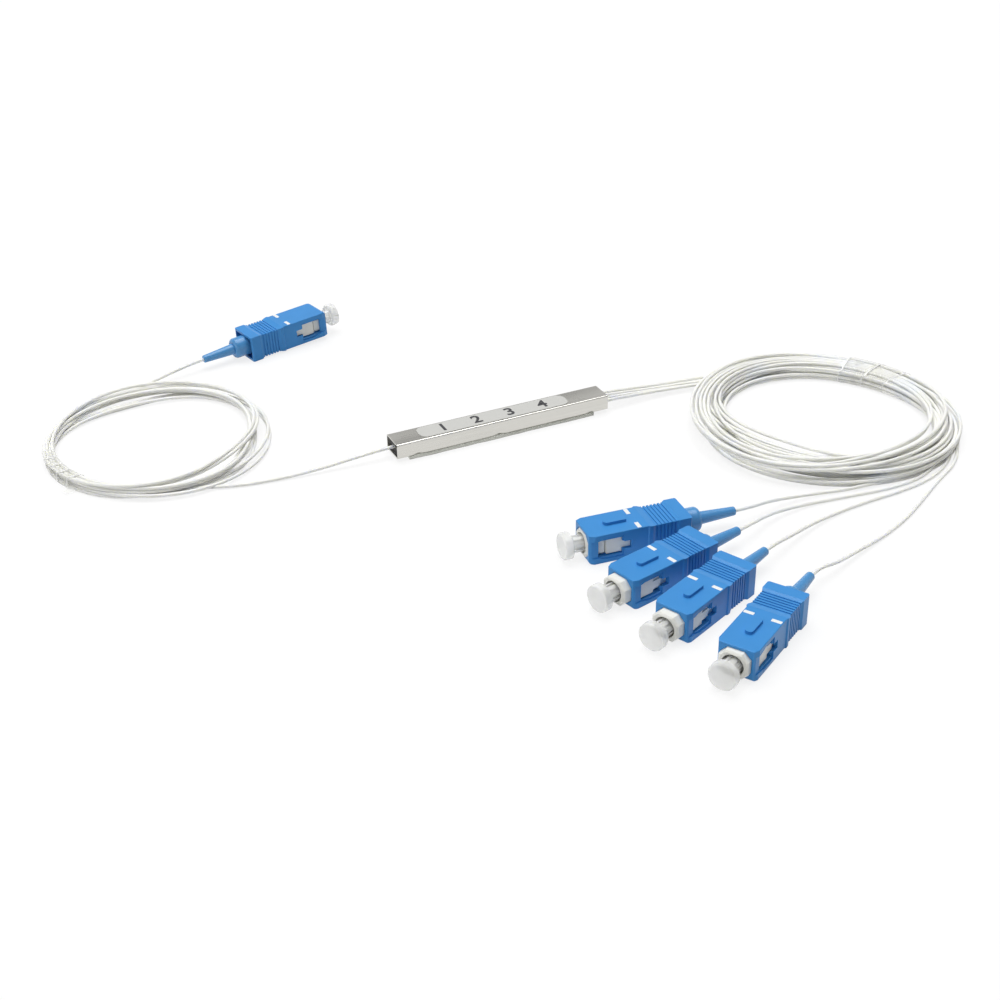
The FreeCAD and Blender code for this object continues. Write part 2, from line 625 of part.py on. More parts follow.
def dust_cap(label):
    """Clear cap: a round head and a fluted barrel that grips the ferrule."""
    body = new_body(label)
    head_end = "cap_head_length - cap_reach"
    blind = "-ferrule_reach - cap_blind_gap"
    hole = "ferrule_diameter / 2 + cap_clearance"
    turned(body, "Profile", [
        ("-cap_reach", "0"), ("-cap_reach", "cap_head_diameter / 2"),
        (head_end, "cap_head_diameter / 2"), (head_end, "cap_barrel_diameter / 2"),
        ("cap_insertion", "cap_barrel_diameter / 2"), ("cap_insertion", hole),
        (blind, hole), (blind, "0")])
    for end in ("-cap_reach", head_end):
        round_edges(body, "cap_head_rounding", circle_at(end, "cap_head_diameter / 2"))
    flute = sketch_on(body, "Flute", "YZ_Plane", head_end)
    rectangle(flute, "-flute_width / 2", "flute_width / 2",
              "cap_barrel_diameter / 2 - flute_depth", "cap_barrel_diameter")
    cut = pocket(body, flute, "cap_insertion + cap_reach", along_normal=True)
    polar_pattern(body, cut, "flute_count")
    return body


PLUG_PIECES = {
    "housing": housing, "plug_frame": plug_frame, "ferrule": ferrule,
    "ferrule_flange": ferrule_flange, "spring": spring, "stop_ring": stop_ring,
    "boot": boot, "dust_cap": dust_cap,
}


def plug_placement(port):
    """Place of a plug's axes: key up on the outputs, key down and leaning on it on the input."""
    heading = Rotation(Vector(0, 0, 1), size(f"{port}_heading"))
    front = Vector(size(f"{port}_x"), size(f"{port}_y"), size("housing_height / 2"))
    turn = heading
    if port == "input":
        lean = math.atan2(size("key_height"), size("housing_length - key_start - key_length"))
        front.z = (size("key_start + key_length") * math.sin(lean)
                   + size("housing_height / 2 + key_height") * math.cos(lean))
        nose_up = Rotation(Vector(0, 1, 0), math.degrees(lean))
        turn = heading * nose_up * Rotation(Vector(1, 0, 0), 180)
    back = Vector(-size(f"forward_offset + {port}_drawn"), 0, 0)
    return Placement(front + turn.multVec(back), turn)


def clone(master, label):
    """Body that repeats another body's shape."""
    body = new_body(label)
    base = body.newObject("PartDesign::FeatureBase", "Clone")
    base.BaseFeature = master
    body.Tip = base
    return body


def plugs():
    """Five equal plugs, each in its own place."""
    masters, pieces = {}, []
    for port in PORTS:
        place = plug_placement(port)
        drawn = Placement(Vector(size(f"forward_offset + {port}_drawn"), 0, 0), Rotation())
        for name, build in PLUG_PIECES.items():
            label = f"{port}_{name}"
            if name in masters:
                body = clone(masters[name], label)
            else:
                body = masters[name] = build(label)
            pieces.append(move(body, place * drawn if name == "housing" else place))
    return pieces


# ---------------------------------------------------------------- pigtails


def cord_solid(label, route):
    """Round cord along straight runs joined by tangent arcs."""
    points = [Vector(*point) for point in route]
    edges, radii, start = [], [], points[0]
    for before, corner, after in zip(points, points[1:], points[2:]):
        back, ahead = before - corner, after - corner
        reach = ARC_SHARE * min(back.Length, ahead.Length)
        half_turn = (math.pi - back.getAngle(ahead)) / 2
        radius = reach / math.tan(half_turn)
        back.normalize()
        ahead.normalize()
        bisector = (back + ahead).normalize()
        middle = corner + bisector * (radius / math.cos(half_turn) - radius)
        edges.append(Part.LineSegment(start, corner + back * reach).toShape())
        edges.append(Part.Arc(corner + back * reach, middle, corner + ahead * reach).toShape())
        start = corner + ahead * reach
        radii.append(radius)
    edges.append(Part.LineSegment(start, points[-1]).toShape())
    path = Part.Wire(edges)
    section = Part.Wire(Part.makeCircle(size("fibre_diameter / 2"), points[0],
                                        points[1] - points[0]))
    solid = path.makePipeShell([section], True, False)
    expected = math.pi * size("fibre_diameter / 2") ** 2 * path.Length
    print(f"{label}: {path.Length:.1f} mm, smallest radius {min(radii):.1f} mm")
    if abs(solid.Volume / expected - 1) > VOLUME_ERROR:
        raise RuntimeError(f"{label}: volume {solid.Volume} for {expected}")
    return solid


def cord(label, routes):
    """Sub-part of one or more cord solids."""
    solids = [cord_solid(label, route) for route in routes]
    item = doc.addObject("Part::Feature", label)
    item.Label = label
    item.Shape = solids[0] if len(solids) == 1 else Part.makeCompound(solids)
    return item


def lead_start(side, offset):
    """First points of a fibre that leaves the module."""
    inner = size("tube_length / 2 - potting_recess - fibre_entry")
    outer = size("tube_length / 2 + lead_stub")
    height = size(TUBE_MIDDLE)
    return [(side * inner, size(offset), height), (side * outer, size(offset), height)]


def tail_start(port):
    """First points of a fibre that leaves a plug's boot."""
    place = plug_placement(port)
    along = [size(f"{BOOT_TIP} - fibre_entry"), size(f"{BOOT_TIP} + tail_stub")]
    return [tuple(place.multVec(Vector(x, 0, 0))) for x in along]


def coil_ring(label, port, grow="0"):
    """Ring of the coil's outer shape between two off-centre circles."""
    body = new_body(label)
    outline = sketch_on(body, "Outline", "XY_Plane")
    circle(outline, "0", "0", f"{port}_coil_radius + {grow}")
    circle(outline, f"{port}_hole_x", f"{port}_hole_y", f"{port}_hole_radius - {grow}")
    pad(body, outline, f"{port}_coil_height + 2 * {grow}")
    round_edges(body, f"coil_rounding + {grow}", lambda edge: isinstance(edge.Curve, Part.Circle))
    base = Vector(size(f"{port}_coil_x"), size(f"{port}_coil_y"),
                  size(f"film_thickness - {grow}"))
    return move(body, Placement(base, Rotation()))


def coil_wrap(port, coil):
    """Band of film round one stretch of the coil."""
    sleeve = coil_ring(f"{port}_sleeve", port, "film_thickness")
    wedge = doc.addObject("Part::Cylinder", f"{port}_wedge")
    wedge.setExpression("Radius", bound(f"2 * {port}_coil_radius"))
    wedge.setExpression("Height", bound(f"2 * {port}_coil_height"))
    wedge.setExpression("Angle", bound(f"{port}_wrap_angle"))
    base = Vector(size(f"{port}_coil_x"), size(f"{port}_coil_y"), 0)
    wedge.Placement = Placement(base, Rotation(Vector(0, 0, 1), size(f"{port}_wrap_start")))
    stretch = doc.addObject("Part::Common", f"{port}_stretch")
    stretch.Base, stretch.Tool = sleeve, wedge
    band = doc.addObject("Part::Cut", f"{port}_coil_wrap")
    band.Base, band.Tool = stretch, coil
    return band


def pigtails():
    """Leads, coils, tails and the film bands."""
    parts = [cord("input_lead", [lead_start(-1, "0") + INPUT_LEAD])]
    starts = [lead_start(1, offset) for offset in lead_offsets("output")]
    parts.append(cord("output_leads", [a + b for a, b in zip(starts, OUTPUT_LEADS)]))
    for port in PORTS:
        parts.append(cord(f"{port}_tail", [tail_start(port) + TAILS[port]]))
    for port in ("input", "output"):
        coil = coil_ring(f"{port}_coil", port)
        parts += [coil, coil_wrap(port, coil)]
    return parts


# ---------------------------------------------------------------- build, test and write


def main():
    """Build every sub-part, test it and write one file for each."""
    fill_sheet()
    parts = module() + plugs() + pigtails()
    doc.recompute()
    failed = [item.Name for item in doc.Objects
              if "Invalid" in item.State or "Error" in item.State]
    if failed:
        raise RuntimeError(f"not rebuilt: {failed}")
    for part in parts:
        if part.Shape.isNull() or not part.Shape.isValid() or part.Shape.Volume <= 0:
            raise RuntimeError(f"bad shape: {part.Label}")
    os.makedirs("parts", exist_ok=True)
    for part in parts:
        part.Shape.exportStep(f"parts/{part.Label}.step")
    print(f"{len(parts)} sub-parts written")


main()
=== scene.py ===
"""Looks of a small fibre splitter: a steel tube, two loose coils of fibre and five blue plugs.

World frame: metres, +X along the steel tube towards the outputs, +Z up, z = 0 on the table.
"""

import json
import logging
import math
from dataclasses import dataclass, field
from enum import Enum
from typing import Any, Iterable, Mapping, Optional, Sequence, Union

import bmesh
import bpy
import numpy as np
from mathutils import Matrix, Vector, noise

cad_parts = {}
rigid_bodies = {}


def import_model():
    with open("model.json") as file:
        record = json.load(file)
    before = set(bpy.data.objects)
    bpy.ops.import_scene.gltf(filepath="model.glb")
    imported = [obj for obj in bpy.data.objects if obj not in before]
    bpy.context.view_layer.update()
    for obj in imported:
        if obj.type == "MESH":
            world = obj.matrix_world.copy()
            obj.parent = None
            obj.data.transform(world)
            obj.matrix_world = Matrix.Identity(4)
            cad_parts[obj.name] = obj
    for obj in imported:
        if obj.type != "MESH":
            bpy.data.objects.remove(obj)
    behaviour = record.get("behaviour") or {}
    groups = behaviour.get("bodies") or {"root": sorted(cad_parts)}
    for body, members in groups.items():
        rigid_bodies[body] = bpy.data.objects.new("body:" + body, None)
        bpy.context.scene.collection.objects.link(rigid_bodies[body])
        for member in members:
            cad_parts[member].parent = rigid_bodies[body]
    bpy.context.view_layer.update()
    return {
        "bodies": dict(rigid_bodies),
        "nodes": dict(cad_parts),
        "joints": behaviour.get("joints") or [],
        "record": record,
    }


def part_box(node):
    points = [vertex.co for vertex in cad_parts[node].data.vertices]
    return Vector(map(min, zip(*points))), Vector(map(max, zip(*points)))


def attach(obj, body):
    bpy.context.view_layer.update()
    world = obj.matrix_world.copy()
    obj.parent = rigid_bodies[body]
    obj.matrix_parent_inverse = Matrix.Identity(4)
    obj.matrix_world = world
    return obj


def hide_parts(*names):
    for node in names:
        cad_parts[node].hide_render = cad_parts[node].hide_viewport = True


LOG = logging.getLogger("fibre_splitter")

Point = tuple[float, float, float]
Colour = tuple[float, float, float, float]
Key = Union[int, str]
Array = np.ndarray
Piece = bpy.types.Object
Shape = bmesh.types.BMesh

MM = 0.001
FIBRE = 0.9 * MM
TINY = 1e-9
MODULE = "splitter"
WHITE: Colour = (1.0, 1.0, 1.0, 1.0)
PALE_GLOW = (1.0, 1.0, 0.9)
NEAR_END = 0.49


class Port(Enum):
    """Ends of the splitter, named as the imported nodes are."""

    INPUT = "input"
    OUTPUT_1 = "output_1"
    OUTPUT_2 = "output_2"
    OUTPUT_3 = "output_3"
    OUTPUT_4 = "output_4"


OUTPUTS = tuple(Port)[1:]


# --- shader nodes


class Signal:
    """Output of a node. Arithmetic on it adds Math nodes."""

    def __init__(self, nodes: "Nodes", socket: bpy.types.NodeSocket) -> None:
        """Wrap one output of a node tree."""
        self.nodes = nodes
        self.socket = socket

    def math(self, operation: str, first: "Number", second: "Number") -> "Signal":
        """Add a Math node of two values."""
        return self.nodes.node("ShaderNodeMath", {"operation": operation}, {0: first, 1: second})

    def __add__(self, other: "Number") -> "Signal":
        """Add."""
        return self.math("ADD", self, other)

    def __sub__(self, other: "Number") -> "Signal":
        """Subtract."""
        return self.math("SUBTRACT", self, other)

    def __rsub__(self, other: "Number") -> "Signal":
        """Subtract from a plain number."""
        return self.math("SUBTRACT", other, self)

    def __mul__(self, other: "Number") -> "Signal":
        """Multiply."""
        return self.math("MULTIPLY", self, other)

    __radd__, __rmul__ = __add__, __mul__

    def most(self, other: "Number") -> "Signal":
        """Return the greater of two values."""
        return self.math("MAXIMUM", self, other)

    def above(self, edge: float, softness: float) -> "Signal":
        """Return a mask that goes from 0 to 1 round a value, over a step of this width."""
        return self.nodes.node(
            "ShaderNodeMapRange", {"interpolation_type": "SMOOTHSTEP"},
            {"Value": self, "From Min": edge - softness / 2, "From Max": edge + softness / 2})


Number = Union[float, Signal]


class Nodes:
    """Node tree of a material or of the world."""

    def __init__(self, owner: Union[bpy.types.Material, bpy.types.World]) -> None:
        """Open the owner's tree."""
        owner.use_nodes = True
        self.tree = owner.node_tree

    def node(self, kind: str, settings: Optional[Mapping[str, Any]] = None,
             inputs: Optional[Mapping[Key, Any]] = None, output: Key = 0) -> Signal:
        """Add a node.

        Args:
            kind: The node's type.
            settings: Its properties, set first.
            inputs: Values or signals for its sockets.
            output: The output to return.

        Returns:
            The chosen output.
        """
        made = self.tree.nodes.new(kind)
        for name, value in (settings or {}).items():
            setattr(made, name, value)
        self.feed(made, inputs or {})
        return Signal(self, made.outputs[output])

    def feed(self, node: bpy.types.Node, inputs: Mapping[Key, Any]) -> None:
        """Give a node's sockets their values or links.

        Args:
            node: The node.
            inputs: Values or signals by socket.
        """
        for name, value in inputs.items():
            if isinstance(value, Signal):
                self.tree.links.new(value.socket, node.inputs[name])
            else:
                node.inputs[name].default_value = value

    def mix_out(self, factor: Signal, first: Signal, second: Signal) -> None:
        """Mix two shaders into the tree's output."""
        mixed = self.node("ShaderNodeMixShader", None, {0: factor, 1: first, 2: second})
        self.feed(self.tree.get_output_node("ALL"), {"Surface": mixed})


class Shader(Nodes):
    """Material with one Principled shader and the nodes that vary its inputs."""

    def __init__(self, name: str) -> None:
        """Make an empty material of this name."""
        self.material = bpy.data.materials.new(name)
        super().__init__(self.material)

    def dress(self, inputs: Mapping[str, Any]) -> bpy.types.Material:
        """Set the surface's inputs and return the material."""
        self.feed(self.tree.nodes["Principled BSDF"], inputs)
        return self.material

    def place(self, stretch: Point) -> Signal:
        """Return the object's own coordinates, stretched along each axis."""
        own = self.node("ShaderNodeTexCoord", output="Object")
        return self.node("ShaderNodeMapping", None, {"Vector": own, "Scale": stretch})

    def grain(self, scale: float, detail: float = 2.0,
              stretch: Point = (1.0, 1.0, 1.0)) -> Signal:
        """Return noise between 0 and 1, with this many waves a metre and octaves."""
        return self.node("ShaderNodeTexNoise", None, {
            "Vector": self.place(stretch), "Scale": scale, "Detail": detail})

    def blend(self, factor: Number, first: Any, second: Any) -> Signal:
        """Mix two colours."""
        return self.node("ShaderNodeMix", {"data_type": "RGBA"},
                         {0: factor, 6: first, 7: second}, output=2)

    def bump(self, height: Signal, depth: float) -> Signal:
        """Return a normal tilted by a height, of which 1 stands for this depth in metres."""
        return self.node("ShaderNodeBump", None,
                         {"Height": height, "Distance": depth, "Strength": 1.0})


def shade(colour: Colour, factor: float) -> Colour:
    """Return a colour made darker or lighter by a factor."""
    red, green, blue, alpha = colour
    return (red * factor, green * factor, blue * factor, alpha)


# --- finishes


@dataclass(frozen=True)
class MouldedPlastic:
    """Injection-moulded plastic with a fine eroded skin and faint flow shading."""

    name: str
    colour: Colour
    roughness: float = 0.35
    shading: float = 0.06
    flow_scale: float = 180.0
    skin_depth: float = 0.004 * MM
    skin_scale: float = 9000.0
    skin_gloss: float = 0.1
    clearness: float = 0.0
    opacity: float = 1.0
    glow: float = 0.0
    glow_depth: float = 0.6 * MM
    shine: float = 0.5
    ior: float = 1.5

    def material(self) -> bpy.types.Material:
        """Build the finish.

        Returns:
            The material.
        """
        shader = Shader(self.name)
        flow = shader.grain(self.flow_scale, 1.0)
        skin = shader.grain(self.skin_scale, 3.0)
        colour = shader.blend(flow, shade(self.colour, 1 - self.shading),
                              shade(self.colour, 1 + self.shading))
        return shader.dress({
            "Base Color": colour,
            "Roughness": self.roughness - self.skin_gloss / 2 + skin * self.skin_gloss,
            "Transmission Weight": self.clearness,
            "Subsurface Weight": self.glow,
            "Subsurface Radius": PALE_GLOW,
            "Subsurface Scale": self.glow_depth,
            "IOR": self.ior,
            "Specular IOR Level": self.shine,
            "Alpha": self.opacity,
            "Normal": shader.bump(skin, self.skin_depth)})


@dataclass(frozen=True)
class DrawnSteel:
    """Stainless tube drawn and polished along its length, with fine lines and dull patches."""

    name: str = "drawn_steel"
    colour: Colour = (0.655, 0.645, 0.605, 1.0)
    dark_line: float = 0.93
    light_line: float = 1.06
    line_stretch: Point = (12.0, 900.0, 900.0)
    line_scale: float = 3.0
    line_depth: float = 0.001 * MM
    line_gloss: float = 0.06
    patch_stretch: Point = (1.0, 2.0, 2.0)
    patch_scale: float = 60.0
    patch_gloss: float = 0.1
    smoothest: float = 0.2
    brushed: float = 0.35

    def material(self) -> bpy.types.Material:
        """Build the finish.

        Returns:
            The material.
        """
        shader = Shader(self.name)
        lines = shader.grain(self.line_scale, stretch=self.line_stretch)
        patches = shader.grain(self.patch_scale, stretch=self.patch_stretch)
        colour = shader.blend(lines, shade(self.colour, self.dark_line),
                              shade(self.colour, self.light_line))
        return shader.dress({
            "Base Color": colour,
            "Metallic": 1.0,
            "Roughness": self.smoothest + patches * self.patch_gloss + lines * self.line_gloss,
            "Anisotropic": self.brushed,
            "Normal": shader.bump(lines, self.line_depth)})


@dataclass(frozen=True)
class TurnedMetal:
    """Small turned or wound metal piece inside a plug."""

    name: str
    colour: Colour
    smoothest: float
    mark_shade: float = 0.9
    mark_scale: float = 4000.0
    mark_gloss: float = 0.12

    def material(self) -> bpy.types.Material:
        """Build the finish.

        Returns:
            The material.
        """
        shader = Shader(self.name)
        marks = shader.grain(self.mark_scale, 3.0)
        return shader.dress({
            "Base Color": shader.blend(marks, shade(self.colour, self.mark_shade), self.colour),
            "Metallic": 1.0,
            "Roughness": self.smoothest + marks * self.mark_gloss})


@dataclass(frozen=True)
class FibreJacket:
    """Smooth extruded white tube, a little glossy, with slow changes of tone along it."""

    name: str = "fibre_jacket"
    colour: Colour = (0.93, 0.93, 0.885, 1.0)
    cool: Colour = (0.89, 0.91, 0.93, 1.0)
    tone_scale: float = 90.0
    tone_step: tuple[float, float] = (0.58, 0.16)
    smoothest: float = 0.3
    skin_scale: float = 5000.0
    skin_gloss: float = 0.12
    skin_depth: float = 0.0006 * MM
    glow: float = 0.9
    glow_depth: float = 0.3 * MM
    ior: float = 1.48

    def material(self) -> bpy.types.Material:
        """Build the finish.

        Returns:
            The material.
        """
        shader = Shader(self.name)
        tone = shader.grain(self.tone_scale).above(*self.tone_step)
        skin = shader.grain(self.skin_scale)
        return shader.dress({
            "Base Color": shader.blend(tone, self.colour, self.cool),
            "Roughness": self.smoothest + skin * self.skin_gloss,
            "Subsurface Weight": self.glow,
            "Subsurface Radius": PALE_GLOW,
            "Subsurface Scale": self.glow_depth,
            "IOR": self.ior,
            "Normal": shader.bump(skin, self.skin_depth)})


@dataclass(frozen=True)
class ClearFilm:
    """Thin clear film: a faint haze that gathers in its folds. Its default grey haze is painted
    shade on the fibres under it.
    """

    name: str
    # Default haze colour: a grey that is painted shade, darkening what shows through the film.
    colour: Colour = (0.66, 0.66, 0.60, 1.0)
    # Colour of the painted highlight along the film's edges.
    edge_highlight_colour: Colour = (0.95, 0.95, 0.94, 1.0)
    thin: float = 0.13
    thick: float = 0.24
    # Opacity of the painted edge highlight.
    edge: float = 0.95
    roughness: float = 0.12
    fold_scale: float = 260.0
    fold_step: tuple[float, float] = (0.6, 0.15)
    fold_depth: float = 0.02 * MM
    ior: float = 1.5
    # Attribute that marks where the painted edge highlight goes.
    highlight_rim: str = "highlight_rim"

    def material(self) -> bpy.types.Material:
        """Build the finish, with a painted highlight, whiter and more opaque, along the film's
        marked edges.

        Returns:
            The material.
        """
        shader = Shader(self.name)
        folds = shader.grain(self.fold_scale)
        highlight_rim = shader.node("ShaderNodeAttribute", {"attribute_name": self.highlight_rim}, output="Fac")
        haze = self.thin + (self.thick - self.thin) * folds.above(*self.fold_step)
        return shader.dress({
            "Base Color": shader.blend(highlight_rim, self.colour, self.edge_highlight_colour),
            "Roughness": self.roughness,
            "Alpha": haze + (self.edge - haze) * highlight_rim,
            "IOR": self.ior,
            "Normal": shader.bump(folds, self.fold_depth)})


@dataclass(frozen=True)
class Print:
    """White film label or opaque ink: matt, with a trace of paper grain."""

    name: str
    colour: Colour
    smoothest: float = 0.46
    grain_shade: float = 0.97
    grain_scale: float = 2500.0
    grain_gloss: float = 0.08
    grain_depth: float = 0.002 * MM

    def material(self) -> bpy.types.Material:
        """Build the finish.

        Returns:
            The material.
        """
        shader = Shader(self.name)
        grain = shader.grain(self.grain_scale, 4.0)
        return shader.dress({
            "Base Color": shader.blend(grain, shade(self.colour, self.grain_shade), self.colour),
            "Roughness": self.smoothest + grain * self.grain_gloss,
            "Normal": shader.bump(grain, self.grain_depth)})


class Palette:
    """Every finish of the splitter, by the record's slot, and some that only show here."""

    def __init__(self) -> None:
        """Build the materials."""
        finishes = (
            DrawnSteel(),
            # The clear strip's dark olive grey is painted shadow from the tube above it.
            MouldedPlastic("clear_tape", (0.46, 0.47, 0.41, 1.0), 0.1, clearness=0.55,
                           skin_scale=320.0, skin_depth=0.1 * MM),
            Print("label_white", (0.60, 0.60, 0.575, 1.0), 0.36),
            MouldedPlastic("potting", (0.02, 0.02, 0.022, 1.0), 0.5, skin_scale=1500.0,
                           skin_depth=0.02 * MM),
            MouldedPlastic("glass_chip", (0.85, 0.92, 0.95, 1.0), 0.06, clearness=0.9),
            MouldedPlastic("glass_block", (0.9, 0.94, 0.92, 1.0), 0.08, clearness=0.9),
            MouldedPlastic("coated_fibre", (0.82, 0.78, 0.62, 1.0), 0.25),
            MouldedPlastic("blue_plastic", (0.05, 0.275, 0.66, 1.0), 0.34, shine=0.25),
            MouldedPlastic("boot_blue", (0.08, 0.30, 0.62, 1.0), 0.26, glow=0.05),
            MouldedPlastic("white_plastic", (0.86, 0.86, 0.81, 1.0), 0.32, 0.03, glow=0.08),
            MouldedPlastic("zirconia", (0.88, 0.88, 0.86, 1.0), 0.1, 0.01),
            TurnedMetal("nickel", (0.72, 0.70, 0.64, 1.0), 0.2),
            TurnedMetal("spring_steel", (0.62, 0.62, 0.62, 1.0), 0.25),
            MouldedPlastic("stop_plastic", (0.03, 0.03, 0.03, 1.0), 0.5),
            MouldedPlastic("clear_cap", (0.93, 0.94, 0.915, 1.0), 0.14, 0.02, opacity=0.5,
                           glow=0.6, skin_depth=0.002 * MM, skin_scale=1800.0),
            FibreJacket(),
            ClearFilm("clear_film"),
            ClearFilm("milky_film", (0.92, 0.92, 0.88, 1.0), thin=0.3, thick=0.4),
            Print("mark_ink", (0.86, 0.88, 0.88, 1.0)),
            Print("label_ink", (0.03, 0.03, 0.035, 1.0)),
        )
        self.materials = {finish.name: finish.material() for finish in finishes}

    def paint(self, piece: Piece, finish: str) -> None:
        """Give a piece one finish."""
        piece.data.materials.clear()
        piece.data.materials.append(self.materials[finish])

    def paint_nodes(self, nodes: Mapping[str, Piece], finishes: Mapping[str, str],
                    before: str = "") -> None:
        """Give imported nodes, whose names may all start with the same words, their finishes."""
        for name, finish in finishes.items():
            self.paint(nodes[before + name], finish)

    def settle(self, piece: Piece, body: str, slot: str,
               finish: Optional[str] = None) -> Piece:
        """Ride a piece on a body and give it a finish, the slot's own unless another is named.

        Args:
            piece: The piece.
            body: The body that it moves with.
            slot: The record's material slot.
            finish: The finish, if it isn't the slot's own.

        Returns:
            The piece.
        """
        self.paint(piece, finish or slot)
        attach(piece, body)
        return piece


# --- mesh helpers


def add_object(name: str, data: bpy.types.ID) -> Piece:
    """Put a new object with this data in the scene."""
    made = bpy.data.objects.new(name, data)
    bpy.context.scene.collection.objects.link(made)
    return made


def piece_from(name: str, shape: Shape, smooth: bool = True) -> Piece:
    """Turn a bmesh into an object at the origin.

    Args:
        name: The piece's name.
        shape: Its shape, freed here.
        smooth: Whether its faces are smooth shaded.

    Returns:
        The new object.
    """
    bmesh.ops.recalc_face_normals(shape, faces=shape.faces)
    for face in shape.faces:
        face.smooth = smooth
    data = bpy.data.meshes.new(name)
    shape.to_mesh(data)
    shape.free()
    return add_object(name, data)


def bevel(shape: Shape, edges: list[bmesh.types.BMEdge], width: float,
          segments: int) -> None:
    """Round some edges of a shape."""
    bmesh.ops.bevel(shape, geom=edges, offset=width, segments=segments, profile=0.5,
                    affect="EDGES", material=-1)


# --- coils of fibre


@dataclass(frozen=True)
class Outline:
    """Nearly round closed line in plan: a radius, and one wave for each number of crests from 1.

    Each wave is its height in metres and the direction of a crest in degrees.
    """

    radius: float
    waves: tuple[tuple[float, float], ...]

    def reach(self, degrees: Array) -> Array:
        """Return the distance from the middle in each direction.

        Args:
            degrees: The directions.

        Returns:
            The distances.
        """
        total = np.full(np.shape(degrees), self.radius)
        for crests, (height, direction) in enumerate(self.waves, 1):
            total += height * np.cos(np.radians(crests * (degrees - direction)))
        return total


@dataclass
class Run:
    """One fibre's free points before and after its coil, in metres."""

    lead: list[Point]
    tail: list[Point]
    controls: list[Point] = field(default_factory=list)


